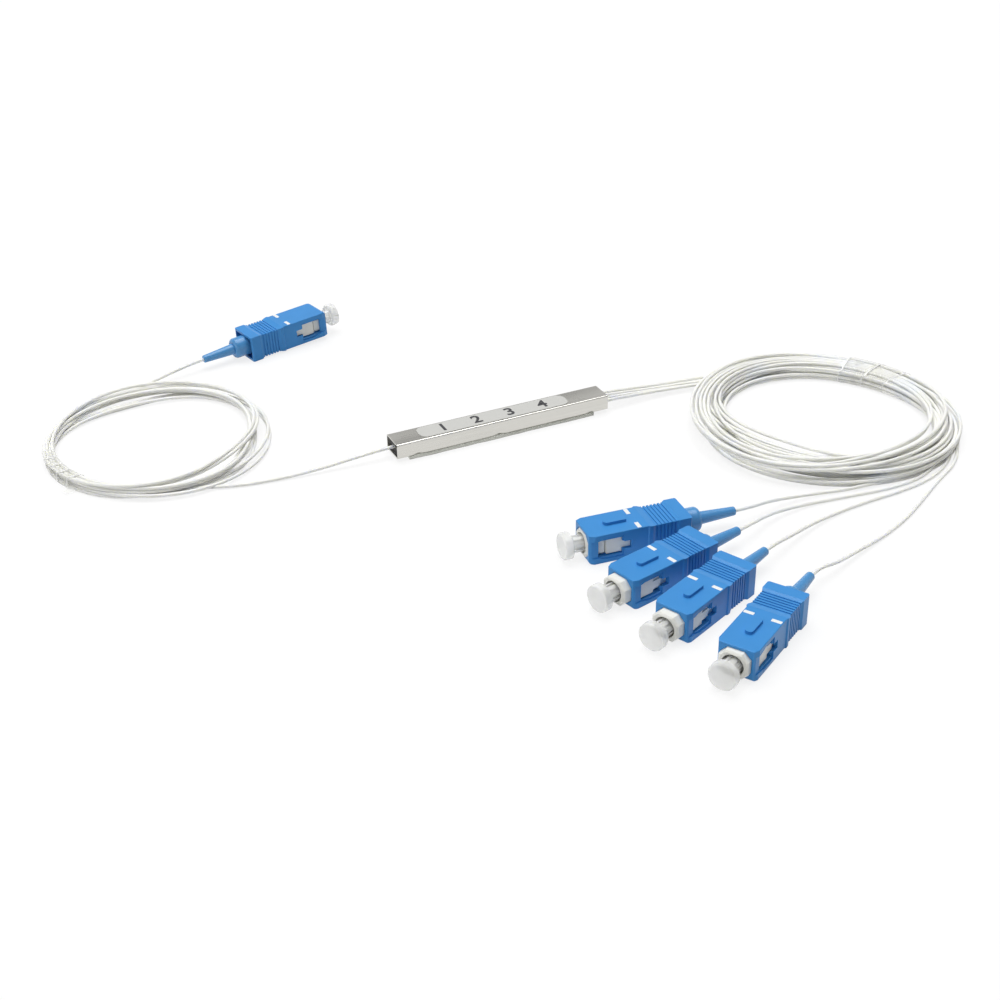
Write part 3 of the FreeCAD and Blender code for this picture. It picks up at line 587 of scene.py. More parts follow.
@dataclass
class Coil:
    """Loose turns of fibre, wound clockwise, tied in one place and fanned out elsewhere.

    Angles are degrees about the coil's middle. The turns' places across the coil change at the tie
    and opposite it, and the fibres are then pushed apart and let down until they lie on each other.
    """

    name: str
    middle: tuple[float, float]
    outer: Outline
    hole: Outline
    tie_angle: float
    tie_span: float
    tie_height: float
    first_angle: float
    whole_turns: int
    seed: int
    heap: float
    points_a_turn: int = 16
    bends_a_turn: int = 4
    bunch: float = 0.5
    stray: float = 0.12
    packed: float = 0.85
    spread: float = 1.3
    lean: float = 0.65
    lean_angle: float = 85.0
    loose: float = 0.2
    loose_place: float = 0.95
    end_gap: float = 0.6
    fade_points: float = 4.0
    fade_power: float = 1.5
    sag: float = 0.003
    lift: float = 2.0
    pull_back: float = 0.04
    stiff_across: float = 0.12
    stiff_up: float = 0.2
    least_share: float = 0.3
    samples: int = 4
    rounds: int = 700

    def __post_init__(self) -> None:
        """Prepare the steps and the spline's pull towards the middle."""
        self.step = 360.0 / self.points_a_turn
        self.fine_step = self.step / self.samples
        self.pull = math.cos(math.radians(self.step / 2)) * 0.5 + 0.5 * (
            0.75 + 0.25 * math.cos(math.radians(self.step)))

    def angle_of(self, point: Point) -> float:
        """Direction of a point from the middle."""
        return math.degrees(math.atan2(point[1] - self.middle[1], point[0] - self.middle[0]))

    def radius_of(self, point: Point) -> float:
        """Distance of a point from the middle, in plan."""
        return math.hypot(point[0] - self.middle[0], point[1] - self.middle[1])

    def stations(self, run: Run) -> Array:
        """Directions of a run's points in the coil, from its lead to its tail.

        Args:
            run: The fibre.

        Returns:
            The directions in degrees.
        """
        span = (self.first_angle - self.angle_of(run.tail[-1])) % 360.0 + 360.0 * self.whole_turns
        count = int((span - self.end_gap * self.step) / self.step) + 1
        return self.first_angle - self.step * np.arange(count)

    def shares(self, angles: Array, order: int, total: int, lots: Array,
               rng: np.random.Generator) -> Array:
        """Place across the coil, from 0 at the hole to 1 outside, along one run.

        Args:
            angles: The run's stations.
            order: The run's place among the fibres that are wound together.
            total: How many fibres there are.
            lots: Places drawn for the bunch of fibres at each bend.
            rng: Random numbers for the small differences within the bunch.

        Returns:
            The share at each station.
        """
        phase = (self.tie_angle - angles) / 360.0 * self.bends_a_turn
        low = math.floor(phase.min())
        side = (order - (total - 1) / 2) / max(total, 2) * self.bunch
        knots = [lots[bend - low] + side + rng.normal(0.0, self.stray)
                 for bend in range(low, math.floor(phase.max()) + 2)]
        shares = np.clip(np.array(knots), 0.0, 1.0)
        index = np.floor(phase).astype(int) - low
        ease = (1 - np.cos(np.pi * (phase - np.floor(phase)))) / 2
        return shares[index] * (1 - ease) + shares[index + 1] * ease

    def draw_lots(self, rng: np.random.Generator) -> Array:
        """Draw the bunch's place at every bend, first turn first.

        Later turns lie higher and further to the lean's side. Opposite the tie a few turns stand
        out loosely and the rest keep together.

        Args:
            rng: Random numbers.

        Returns:
            The places, from 0 at the hole to 1 outside.
        """
        low = math.floor((self.tie_angle - self.first_angle) / 360.0 * self.bends_a_turn)
        turns = self.whole_turns + 2
        even = np.linspace(0.02, 0.98, turns)
        drawn = [rng.permutation(even) for _ in range(self.bends_a_turn)]
        lots = []
        for bend in range(turns * self.bends_a_turn):
            kind, turn = (bend + low) % self.bends_a_turn, bend // self.bends_a_turn
            away = self.tie_angle - 360.0 * kind / self.bends_a_turn - self.lean_angle
            leant = 0.5 + 0.5 * (2 * turn / (turns - 1) - 1) * math.cos(math.radians(away))
            share = self.lean * leant + (1 - self.lean) * drawn[kind][turn]
            share = min(max(0.5 + (share - 0.5) * self.spread, 0.0), 1.0)
            if 2 * kind == self.bends_a_turn:
                loose = drawn[kind][turn] > 1 - self.loose
                share = self.loose_place if loose else share * self.packed
            lots.append(share)
        return np.array(lots)

    def lay(self, runs: Sequence[Run]) -> None:
        """Work out every run's points in the coil and keep them in the run.

        Args:
            runs: The fibres of this coil.
        """
        rng = np.random.default_rng(self.seed)
        lots = self.draw_lots(rng)
        angles = [self.stations(run) for run in runs]
        lines, levels, heights = [], [], []
        for order, (run, stations) in enumerate(zip(runs, angles)):
            count = np.arange(len(stations))
            fade = np.clip(1 - count / self.fade_points, 0, 1) ** self.fade_power
            low, high = self.hole.reach(stations), self.outer.reach(stations)
            line = low + FIBRE / 2 + self.shares(stations, order, len(runs), lots, rng) * (
                high - low - FIBRE)
            rest = FIBRE / 2 + self.heap * np.clip(
                count / self.points_a_turn / (self.whole_turns + 1), 0, 1)
            for end, share in ((run.lead[-1], fade), (run.tail[-1], fade[::-1])):
                line = line * (1 - share) + self.radius_of(end) * share
                rest = rest * (1 - share) + end[2] * share
            lines.append(line)
            levels.append(rest)
            heights.append(rest + FIBRE * (order / len(runs)) * (1 - fade) * (1 - fade[::-1]))
        settled = self.settle(runs, lines, levels, heights)
        for run, stations, (around, up) in zip(runs, angles, settled):
            run.controls = [
                (self.middle[0] + r / self.pull * math.cos(a),
                 self.middle[1] + r / self.pull * math.sin(a), max(z, FIBRE / 2))
                for r, a, z in zip(around, np.radians(stations), up)]

    def hull_point(self, degrees: float, way: Array, margin: float) -> Array:
        """Point of a taut film round the bundle, as radius and height.

        Args:
            degrees: Direction from the coil's middle.
            way: Unit vector that the film faces there, in radius and height.
            margin: How far the film stands off the fibres' centrelines.

        Returns:
            The point.
        """
        column = (self.first_angle - degrees) / self.fine_step
        low = math.floor(column)
        sections = [self.sections[one % len(self.sections)] for one in (low, low + 1)]
        before, after = (section[np.argmax(section @ way)] for section in sections)
        return before + (after - before) * (column - low) + way * margin

    def passing(self, points: Sequence[Point]) -> list[tuple[int, float, float]]:
        """Find the fine stations that a free stretch of fibre passes.

        Args:
            points: The stretch.

        Returns:
            Each station, with the fibre's radius and height there.
        """
        found = []
        line = np.array(points)
        parts = np.arange(0.0, 1.0, 0.02)[:, None]
        dense = np.concatenate([a + (b - a) * parts for a, b in zip(line, line[1:])])
        offset = dense[:, :2] - np.array(self.middle)
        angle = np.degrees(np.arctan2(offset[:, 1], offset[:, 0]))
        distance = np.hypot(offset[:, 0], offset[:, 1])
        fine = (self.first_angle - angle) / self.fine_step
        for place, before, r, z in zip(fine[1:], fine[:-1], distance[1:], dense[1:, 2]):
            crossed = math.floor(max(place, before))
            if abs(place - before) < 2 and crossed > min(place, before):
                found.append((crossed % (self.points_a_turn * self.samples), float(r), float(z)))
        return found

    def fine_points(self, runs: Sequence[Run], first: Array) -> tuple[
            list[list[int]], Array, Array, Array]:
        """Set out the fine points at which the fibres are kept apart.

        Args:
            runs: The fibres.
            first: Where each fibre's stations start among all, and how many there are.

        Returns:
            The points at each fine station, the three stations that carry each moving point,
            their weights, and the radius and height of the points that lie still.
        """
        columns: list[list[int]] = [[] for _ in range(self.points_a_turn * self.samples)]
        corners_of, weights, still = [], [], []
        for start, stop in zip(first, first[1:]):
            for control in range(start + 1, stop - 1):
                for part in range(self.samples):
                    u = part / self.samples
                    around = (control - start) * self.samples + part - self.samples // 2
                    columns[around % len(columns)].append(len(corners_of))
                    corners_of.append((control - 1, control, control + 1))
                    weights.append((0.5 * (1 - u) ** 2, 0.5 + u * (1 - u), 0.5 * u * u))
        for run in runs:
            for column, *place in self.passing(run.lead[2:]) + self.passing(run.tail[2:]):
                columns[column].append(len(corners_of) + len(still))
                still.append(place)
        return columns, np.array(corners_of), np.array(weights), np.array(still)

    def settle(self, runs: Sequence[Run], lines: Sequence[Array],
               levels: Sequence[Array],
               heights: Sequence[Array]) -> list[tuple[Array, Array]]:
        """Push the fibres apart and let them down, at fine stations round the coil.

        Args:
            runs: The fibres.
            lines: The radii that they start at and tend to.
            levels: The heights that their stiffness holds them at.
            heights: The heights that they start at.

        Returns:
            Each fibre's radii and heights.
        """
        first = np.cumsum([0] + [len(line) for line in lines])
        line, rest, z = (np.concatenate(part) for part in (lines, levels, heights))
        r = line.copy()
        free = np.setdiff1d(np.arange(len(r)), np.concatenate([first[:-1], first[1:] - 1]))
        columns, carriers, weights, still = self.fine_points(runs, first)
        members = np.full((len(columns), max(len(c) for c in columns)), -1)
        for row, column in enumerate(columns):
            members[row, :len(column)] = column
        there, own = members >= 0, (members >= 0) & (members < len(carriers))
        pairs = there[:, :, None] & there[:, None, :] & ~np.eye(members.shape[1], dtype=bool)
        at = np.where(there, members, 0)
        fine_angle = self.first_angle - self.fine_step * np.arange(len(columns))
        low = self.hole.reach(fine_angle)[:, None] + FIBRE / 2
        high = self.outer.reach(fine_angle)[:, None] - FIBRE / 2
        off_tie = np.abs((fine_angle - self.tie_angle + 180) % 360 - 180)[:, None]
        tied = np.clip(1.5 - off_tie / (self.tie_span / 2), 0, 1)
        for turn in range(self.rounds):
            heat = 1 - turn / self.rounds
            r[free] += self.pull_back * heat * (line - r)[free]
            z[free] += (self.pull_back * heat * (rest - z)[free]
                        - self.sag * FIBRE * min(1.0, heat * 2))
            bend = r - line
            r[free] += self.stiff_across * ((bend[free - 1] + bend[free + 1]) / 2 - bend[free])
            z[free] += self.stiff_up * ((z[free - 1] + z[free + 1]) / 2 - z[free])
            fine_r = np.concatenate([(r[carriers] * weights).sum(1), still[:, 0]])
            fine_z = np.concatenate([(z[carriers] * weights).sum(1), still[:, 1]])
            at_r, at_z = fine_r[at], fine_z[at]
            dr = at_r[:, :, None] - at_r[:, None, :]
            dz = at_z[:, :, None] - at_z[:, None, :]
            gap = np.hypot(dr, dz) + TINY
            lift = dz * self.lift
            reach = np.hypot(dr, lift) + TINY
            push = np.where(pairs & (gap < FIBRE), 0.5 * (FIBRE - gap) / reach, 0.0)
            move_r, move_z = (push * dr).sum(2), (push * lift).sum(2)
            move_z += np.maximum(FIBRE / 2 - at_z, 0)
            move_r += np.maximum(low - at_r, 0) - np.maximum(at_r - high, 0)
            move_z -= tied * np.maximum(at_z - (self.tie_height - FIBRE / 2), 0)
            flat_r, flat_z = np.zeros(len(carriers)), np.zeros(len(carriers))
            flat_r[members[own]], flat_z[members[own]] = move_r[own], move_z[own]
            active = (np.abs(flat_r) + np.abs(flat_z) > TINY)[:, None] * weights
            share, sum_r, sum_z = np.zeros(len(r)), np.zeros(len(r)), np.zeros(len(r))
            for total, flat in ((share, 1.0), (sum_r, flat_r[:, None]), (sum_z, flat_z[:, None])):
                np.add.at(total, carriers, active * flat)
            share = np.maximum(share, self.least_share)
            r[free] += (sum_r / share)[free]
            z[free] += (sum_z / share)[free]
        fine = np.stack([fine_r, fine_z], 1)
        self.sections = [fine[[one for one in column if one < len(carriers)]]
                         for column in columns]
        LOG.info("%s: highest fibre %.2f mm", self.name, fine_z.max() / MM)
        return [(r[start:stop], z[start:stop]) for start, stop in zip(first, first[1:])]


# --- film round the coils


@dataclass
class FilmBand:
    """Clear film wound a few laps round a tied coil, each lap over the edge of the one before."""

    coil: Coil
    node: str
    palette: Palette
    laps: int
    loose_end: bool = False
    finish: str = "clear_film"
    lap_over: float = 1.2
    growth: float = 0.05 * MM
    clearance: float = 0.06 * MM
    skew: float = 2.6
    points_round: int = 56
    edge_angle: float = 0.5
    edge_slack: float = 1.1
    step_angle: float = 1.3
    crease: float = 0.05 * MM
    crease_scale: float = 700.0
    tab_size: float = 3.0 * MM
    tab_taper: float = 0.25
    tab_overlap: float = 0.5 * MM
    tab_drop: float = 0.9 * MM
    tab_curl: float = 0.5 * MM
    tab_lowest: float = 0.12 * MM
    # Share of the edge mask over the loose end's face: haze, with part of the painted highlight.
    tab_haze_and_highlight: float = 0.3
    tab_cells: tuple[int, int] = (10, 6)

    def build(self) -> Piece:
        """Make the band, and its loose end where it has one.

        Returns:
            The band.
        """
        self.shape = bmesh.new()
        self.highlight_rim = self.shape.verts.layers.float.new(ClearFilm.highlight_rim)
        self.about = Vector((*self.coil.middle, 0.0))
        span = self.coil.tie_span
        pitch = (span + self.lap_over * (self.laps - 1)) / self.laps
        start = self.coil.tie_angle - span / 2
        for lap in range(self.laps):
            first = start + lap * (pitch - self.lap_over)
            self.lap(first, first + pitch, lap * self.growth)
        if self.loose_end:
            self.tab(start + span)
        band = piece_from(f"{self.coil.name}_film", self.shape)
        self.palette.settle(band, MODULE, "clear_film", self.finish)
        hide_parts(self.node)
        return band

    def lap(self, first: float, last: float, grown: float) -> None:
        """Sweep one lap of film round the bundle's section.

        Args:
            first: Where the lap starts, in degrees.
            last: Where it ends.
            grown: How much it stands off the lap below.
        """
        before = set(self.shape.verts)
        made = bmesh.ops.create_circle(self.shape, segments=self.points_round, radius=MM)["verts"]
        for vert in made:
            across, up = vert.co.xy
            vert.co = self.about + Vector((self.coil.outer.radius + across, 0.0, up))
        bmesh.ops.rotate(self.shape, cent=self.about, verts=made,
                         matrix=Matrix.Rotation(math.radians(first), 3, "Z"))
        ring = list(made) + list({edge for vert in made for edge in vert.link_edges})
        edge = (self.edge_angle, self.edge_angle)
        for turn in (*edge, last - first - 2 * sum(edge), *edge):
            ring = bmesh.ops.spin(self.shape, geom=ring, cent=self.about, axis=(0, 0, 1),
                                  dvec=(0, 0, 0), angle=math.radians(turn),
                                  steps=max(1, round(turn / self.step_angle)),
                                  use_duplicate=False)["geom_last"]
        for vert in set(self.shape.verts) - before:
            self.fit(vert, first, last, grown)

    def fit(self, vert: bmesh.types.BMVert, first: float, last: float, grown: float) -> None:
        """Move a point of the swept section, which is 1 mm in radius, to its place on the bundle.

        Args:
            vert: The point.
            first: Where the lap starts, in degrees.
            last: Where it ends.
            grown: How much it stands off the lap below.
        """
        offset = vert.co - self.about
        angle = math.degrees(math.atan2(offset.y, offset.x))
        around = (angle - first + 180) % 360 - 180
        from_edge = min(around, last - first - around)
        # Mark each lap's edges for the film's painted highlight.
        vert[self.highlight_rim] = float(from_edge < self.edge_angle * self.edge_slack)
        across = (offset.xy.length - self.coil.outer.radius) / MM
        way = np.array([across, offset.z / MM])
        margin = (FIBRE / 2 + self.clearance + grown
                  + self.crease * noise.noise(vert.co * self.crease_scale))
        turned = angle - self.skew * across
        radius, height = self.coil.hull_point(turned, way / np.hypot(*way), margin)
        turn = math.radians(turned)
        vert.co = self.about + Vector((radius * math.cos(turn), radius * math.sin(turn),
                                       max(height, self.clearance / 2)))

    def tab(self, angle: float) -> None:
        """Add the film's loose end, which sticks out of the bundle's outer side.

        Args:
            angle: Where it is, in degrees.
        """
        columns, rows = self.tab_cells
        made = bmesh.ops.create_grid(self.shape, x_segments=columns, y_segments=rows,
                                     size=0.5)["verts"]
        outer = float(self.coil.hull_point(angle, np.array([1.0, 0.0]), FIBRE / 2)[0])
        turn = Matrix.Rotation(math.radians(angle), 3, "Z")
        for vert in made:
            along, out = vert.co.x, vert.co.y + 0.5
            # The loose end's edges take the whole painted highlight, and its face a share of it.
            vert[self.highlight_rim] = 1.0 if max(abs(along), vert.co.y) > NEAR_END else self.tab_haze_and_highlight
            curl = self.tab_drop * (1 - out) ** 2 + self.tab_curl * out ** 3 + self.tab_lowest
            place = Vector((outer - self.tab_overlap + out * self.tab_size,
                            along * self.tab_size * (1 - self.tab_taper * out), curl))
            vert.co = self.about + turn @ place


# --- module


@dataclass
class Module:
    """Steel tube with its label and the clear mounting strip under it."""

    nodes: Mapping[str, Piece]
    palette: Palette
    digits: str = "1234"
    digit_height: float = 3.7 * MM
    digit_gap: float = 9.4 * MM
    digit_lift: float = 0.015 * MM
    digit_weight: float = 0.035
    capital_share: float = 0.7
    strip_cuts: tuple[int, ...] = (90, 9, 2)
    strip_waves: float = 0.22 * MM
    wave_scale: float = 260.0
    wavy_from: float = 0.75
    edge_drop: float = 0.12 * MM
    edge_radius: float = 0.07 * MM
    lump_height: float = 0.5 * MM
    lump_reach: float = 1.5 * MM
    lump_bulge: float = 0.2 * MM
    lumps: tuple[float, ...] = (-24.3 * MM, -1.6 * MM, 24.9 * MM)
    seed: int = 3

    FINISHES = {
        "steel_tube": "drawn_steel", "label": "label_white", "input_end_plug": "potting",
        "output_end_plug": "potting", "splitter_chip": "glass_chip",
        "input_fibre_block": "glass_block", "output_fibre_block": "glass_block",
        "bare_fibres": "coated_fibre",
    }

    def build(self) -> list[Piece]:
        """Finish the module's nodes and add its print and its strip."""
        self.palette.paint_nodes(self.nodes, self.FINISHES)
        return [self.print(), self.strip()]

    def print(self) -> Piece:
        """Print the port numbers on the label.

        Returns:
            The print.
        """
        low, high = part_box("label")
        shape = bmesh.new()
        for place, digit in enumerate(self.digits):
            text = bpy.data.curves.new("digit", "FONT")
            text.body, text.size = digit, self.digit_height / self.capital_share
            text.align_x, text.align_y = "CENTER", "CENTER"
            text.offset = self.digit_weight * self.digit_height
            carrier = bpy.data.objects.new("digit", text)
            flat = bpy.data.meshes.new_from_object(carrier)
            offset = (place - (len(self.digits) - 1) / 2) * self.digit_gap
            flat.transform(Matrix.Translation(((low.x + high.x) / 2 + offset,
                                               (low.y + high.y) / 2, high.z + self.digit_lift)))
            shape.from_mesh(flat)
            bpy.data.objects.remove(carrier)
            bpy.data.curves.remove(text)
            bpy.data.meshes.remove(flat)
        piece = piece_from("label_print", shape, smooth=False)
        return self.palette.settle(piece, MODULE, "label_white", "label_ink")

    def strip(self) -> Piece:
        """Make the soft clear strip: wavy along its sides, with a lump where each end was torn.

        Returns:
            The strip.
        """
        low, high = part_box("mounting_tape")
        size, centre = high - low, (low + high) / 2
        noise.seed_set(self.seed)
        shape = bmesh.new()
        bmesh.ops.create_cube(shape, size=1.0)
        for axis, cuts in enumerate(self.strip_cuts):
            along = [edge for edge in shape.edges
                     if abs(edge.verts[0].co[axis] - edge.verts[1].co[axis]) > 0.9]
            bmesh.ops.subdivide_edges(shape, edges=along, cuts=cuts, use_grid_fill=True)
        waves = self.strip_waves
        size -= Vector((2 * waves, 2 * waves, 0.0))
        for vert in shape.verts:
            x, y, z = vert.co
            spot = Vector((x * size.x, y * size.y, z * size.z)) + centre
            wave = noise.noise_vector(spot * self.wave_scale) * waves
            edge = min(1.0, max(0.0, abs(y) * 2 - self.wavy_from) / (1 - self.wavy_from))
            lump = sum(math.exp(-(((spot.x - end) / self.lump_reach) ** 2))
                       for end in self.lumps) * edge
            spot += Vector((wave.x * 2 * (abs(x) > NEAR_END), wave.y * edge, 0.0))
            if z > 0.4:
                spot.z += (lump * self.lump_height - (1 - lump) * edge * self.edge_drop
                           + wave.z * edge * 0.5)
            spot.y += math.copysign(self.lump_bulge * lump * (z + 0.5), y)
            vert.co = spot
        bevel(shape, [edge for edge in shape.edges if edge.calc_face_angle(0.0) > 0.9],
              self.edge_radius, 2)
        piece = piece_from("clear_strip", shape)
        # Its finish is dark with painted shadow from the tube.
        self.palette.settle(piece, MODULE, "clear_tape")
        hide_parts("mounting_tape")
        return piece


# --- plugs


@dataclass
class Plug:
    """One push-pull plug: where it lies, the finishes of its pieces and its painted marks."""

    port: Port
    frame: Mapping[str, Any]
    palette: Palette
    boot_tip: float = 38.3 * MM
    fibre_entry: float = 3.0 * MM
    tail_stub: float = 3.6 * MM
    forward_offset: float = 0.2 * MM
    mark_from: float = 11.7 * MM
    mark_length: float = 0.95 * MM
    mark_inner: float = 1.95 * MM
    mark_outer: float = 4.25 * MM
    mark_corner: float = 0.12 * MM
    mark_thickness: float = 0.03 * MM
    half_height: float = 3.7 * MM

    FINISHES = {
        "housing": "blue_plastic", "plug_frame": "white_plastic", "ferrule": "zirconia",
        "ferrule_flange": "nickel", "spring": "spring_steel", "stop_ring": "stop_plastic",
        "boot": "boot_blue", "dust_cap": "clear_cap",
    }

    def __post_init__(self) -> None:
        """Read the plug's place from the record's mount and joint."""
        record = self.frame["record"]
        mount = self.found(record["mounts"], "plug_face")
        slide = self.found(record["behaviour"]["joints"], "housing_slide")
        self.face = Vector(mount["pos_m"])
        self.back = -Vector(mount["axis"])
        self.drawn = -slide["range_m"][0]
        self.side = Vector((0, 0, 1)).cross(self.back).normalized()
        self.key_up = self.back.cross(self.side)
        if self.port is Port.INPUT:
            self.key_up, self.side = -self.key_up, -self.side

    def found(self, rows: Iterable[Mapping[str, Any]], name: str) -> Mapping[str, Any]:
        """Return this plug's row with a name."""
        return next(row for row in rows if row["name"] == f"{self.port.value}_{name}")

    def at(self, along: float) -> Point:
        """Return a point on the plug's axis, measured from the frame's front face."""
        return tuple(self.face + self.back * along)

    def tail_points(self) -> list[Point]:
        """Return the fibre's first points, from inside the boot outwards."""
        return [self.at(self.boot_tip - self.fibre_entry), self.at(self.boot_tip + self.tail_stub)]

    def pieces(self) -> list[str]:
        """Return the names of the plug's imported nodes."""
        return [f"{self.port.value}_{part}" for part in self.FINISHES]

    def build(self) -> list[Piece]:
        """Finish the plug's nodes and paint the marks on both wide faces of its housing."""
        self.palette.paint_nodes(self.frame["nodes"], self.FINISHES, f"{self.port.value}_")
        return [self.marks("key", 1), self.marks("plain", -1)]

    def marks(self, face: str, way: int) -> Piece:
        """Make the two painted bars on one wide face of the housing.

        Args:
            face: The face's name.
            way: 1 for the side with the key, and -1 for the other.

        Returns:
            The bars.
        """
        shape = bmesh.new()
        length, width = self.mark_length, self.mark_outer - self.mark_inner
        for side in (-1, 1):
            bar = bmesh.ops.create_cube(shape, size=1.0)["verts"]
            bmesh.ops.scale(shape, vec=(length, width, self.mark_thickness), verts=bar)
            middle = (self.forward_offset + self.drawn + self.mark_from + length / 2,
                      side * (self.mark_inner + width / 2),
                      way * (self.half_height + self.mark_thickness * 0.3))
            bmesh.ops.translate(shape, vec=middle, verts=bar)
        upright = [edge for edge in shape.edges
                   if abs(edge.verts[0].co.z - edge.verts[1].co.z) > self.mark_thickness / 2]
        bevel(shape, upright, self.mark_corner, 3)
        turn = Matrix((self.back, self.side, self.key_up)).transposed().to_4x4()
        turn.translation = self.face
        bmesh.ops.transform(shape, matrix=turn, verts=shape.verts)
        piece = piece_from(f"{self.port.value}_marks_{face}_side", shape, smooth=False)
        return self.palette.settle(piece, f"{self.port.value}_sleeve", "label_white", "mark_ink")


# --- pigtails


LEAD_LINES: dict[Port, list[Point]] = {
    Port.INPUT: [(-26.3, 0, 2.8), (-32, 0, 2.8), (-40, 0.2, 2.1), (-49, 0.6, 1.1), (-59, 1.2, 0.6),
                 (-70, 2.7, 0.55), (-80, 6.4, 0.9)],
    Port.OUTPUT_1: [(26.3, 2.25, 2.8), (32, 2.25, 2.8), (41.5, 1.9, 2.1), (51.5, 1, 1.7),
                    (61.5, -0.6, 1.9), (71, -2.6, 2.2)],
    Port.OUTPUT_2: [(26.3, 0.75, 2.8), (32, 0.75, 2.8), (41, 0.6, 1.9), (50.5, 0.1, 1.4),
                    (60.5, -1.5, 1.3), (70, -3.6, 1.3)],
    Port.OUTPUT_3: [(26.3, -0.75, 2.8), (32, -0.75, 2.8), (40.5, -0.6, 1.9), (49.5, -0.9, 1.3),
                    (59.5, -2.6, 1.1), (69, -4.8, 1.2)],
    Port.OUTPUT_4: [(26.3, -2.25, 2.8), (32, -2.25, 2.8), (41, -1.9, 2.1), (50, -2, 1.6),
                    (59, -3.6, 1.7), (68, -6, 2)],
}

TAIL_LINES: dict[Port, list[Point]] = {
    Port.INPUT: [(-69.3, 69.3, 1.9), (-77.5, 66.3, 1.2), (-86, 62.6, 1.3)],
    Port.OUTPUT_1: [(38.6, -65.3, 2.5), (45, -64.6, 1.4), (52.5, -64.9, 0.7), (60.5, -66.7, 0.6),
                    (68.5, -67.8, 1)],
    Port.OUTPUT_2: [(34.3, -70.4, 2.3), (41.5, -68.5, 1.3), (50, -68.2, 0.6), (60, -69.5, 0.5),
                    (70.5, -71, 0.5), (80.5, -70.3, 0.6), (88.5, -66, 1)],
    Port.OUTPUT_3: [(34.5, -80.5, 2.4), (42.3, -77.1, 1.4), (51, -74.6, 0.6), (61, -73.4, 0.5),
                    (72, -73.2, 0.5), (82.5, -71.5, 0.5), (91.5, -66.7, 0.6), (97.5, -60.5, 1)],
    Port.OUTPUT_4: [(37, -94.4, 2.3), (45.5, -91, 1.2), (55, -87.9, 0.5), (64.5, -84, 0.5),
                    (73.5, -78.8, 0.5), (82.5, -73.2, 0.5), (92.5, -68.1, 0.6), (99.5, -60, 1)],
}


def metres(points: Iterable[Point]) -> list[Point]:
    """Turn points in millimetres, written to 0.01 mm, into metres."""
    return [tuple(round(value * MM, 5) for value in point) for point in points]


@dataclass
class Pigtails:
    """The five white fibres, each one cord from the module through its coil to its plug."""

    plugs: Mapping[Port, Plug]
    palette: Palette
    length: float = 1.5
    exit_x: float = 30.0 * MM
    bevel_steps: int = 3
    steps_between: int = 5

    def __post_init__(self) -> None:
        """Set out the two coils as they lie."""
        left = Coil("input_coil", middle=(-0.0815, 0.0340),
                    outer=Outline(0.0298, ((0.0010, 20), (0.0008, 87), (0.0005, 55))),
                    hole=Outline(0.0239, ((0.0014, 174), (0.0014, 39), (0.0012, 25))),
                    tie_angle=190.0, tie_span=37.0, tie_height=0.0030, first_angle=-109.4,
                    whole_turns=8, seed=11, heap=2.8 * MM)
        right = Coil("output_coil", middle=(0.0765, -0.0340),
                     outer=Outline(0.0347, ((0.0014, -133), (0.0003, 90), (0.0007, -40))),
                     hole=Outline(0.0242, ((0.0014, -4), (0.0016, -60), (0.0002, 22))),
                     tie_angle=26.0, tie_span=31.0, tie_height=0.0042, first_angle=78.0,
                     whole_turns=7, seed=5, heap=4.9 * MM, lean=0.72, lean_angle=72.0)
        self.coils = {"input": left, "output": right}

    def build(self) -> list[Piece]:
        """Lay both coils and make the cords.

        Returns:
            The cords.
        """
        runs = {port: Run(metres(LEAD_LINES[port]), plug.tail_points() + metres(TAIL_LINES[port]))
                for port, plug in self.plugs.items()}
        self.coils["input"].lay([runs[Port.INPUT]])
        self.coils["output"].lay([runs[port] for port in OUTPUTS])
        return [self.cord(port, run) for port, run in runs.items()]

    def cord(self, port: Port, run: Run) -> Piece:
        """Args:
            port: The fibre's end of the splitter.
            run: Its points.

        Returns:
            The cord.
        """
        name = f"{port.value}_fibre"
        data = bpy.data.curves.new(name, "CURVE")
        data.dimensions = "3D"
        data.bevel_depth = FIBRE / 2
        data.bevel_resolution = self.bevel_steps
        data.resolution_u = self.steps_between
        data.use_fill_caps = True
        points = run.lead + run.controls + run.tail[::-1]
        spline = data.splines.new("NURBS")
        spline.points.add(len(points) - 1)
        for target, point in zip(spline.points, points):
            target.co = (*point, 1.0)
        spline.order_u = 3
        spline.use_endpoint_u = True
        piece = add_object(name, data)
        self.palette.settle(piece, MODULE, "fibre_jacket")
        if port is Port.INPUT:
            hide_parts("input_lead", "input_coil", "input_tail")
        else:
            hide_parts("output_leads", "output_coil", f"{port.value}_tail")
        self.plugs[port].pieces()
        return piece


# --- studio


@dataclass(frozen=True)
class Lamp:
    """Soft square lamp that looks at the origin."""

    name: str
    place: Point
    width: float
    power: float

    def build(self) -> None:
        """Add the lamp to the scene."""
        data = bpy.data.lights.new(self.name, "AREA")
        data.size = self.width
        data.energy = self.power
        lamp = add_object(self.name, data)
        lamp.location = self.place
        lamp.rotation_euler = (-Vector(self.place)).to_track_quat("-Z", "Y").to_euler()


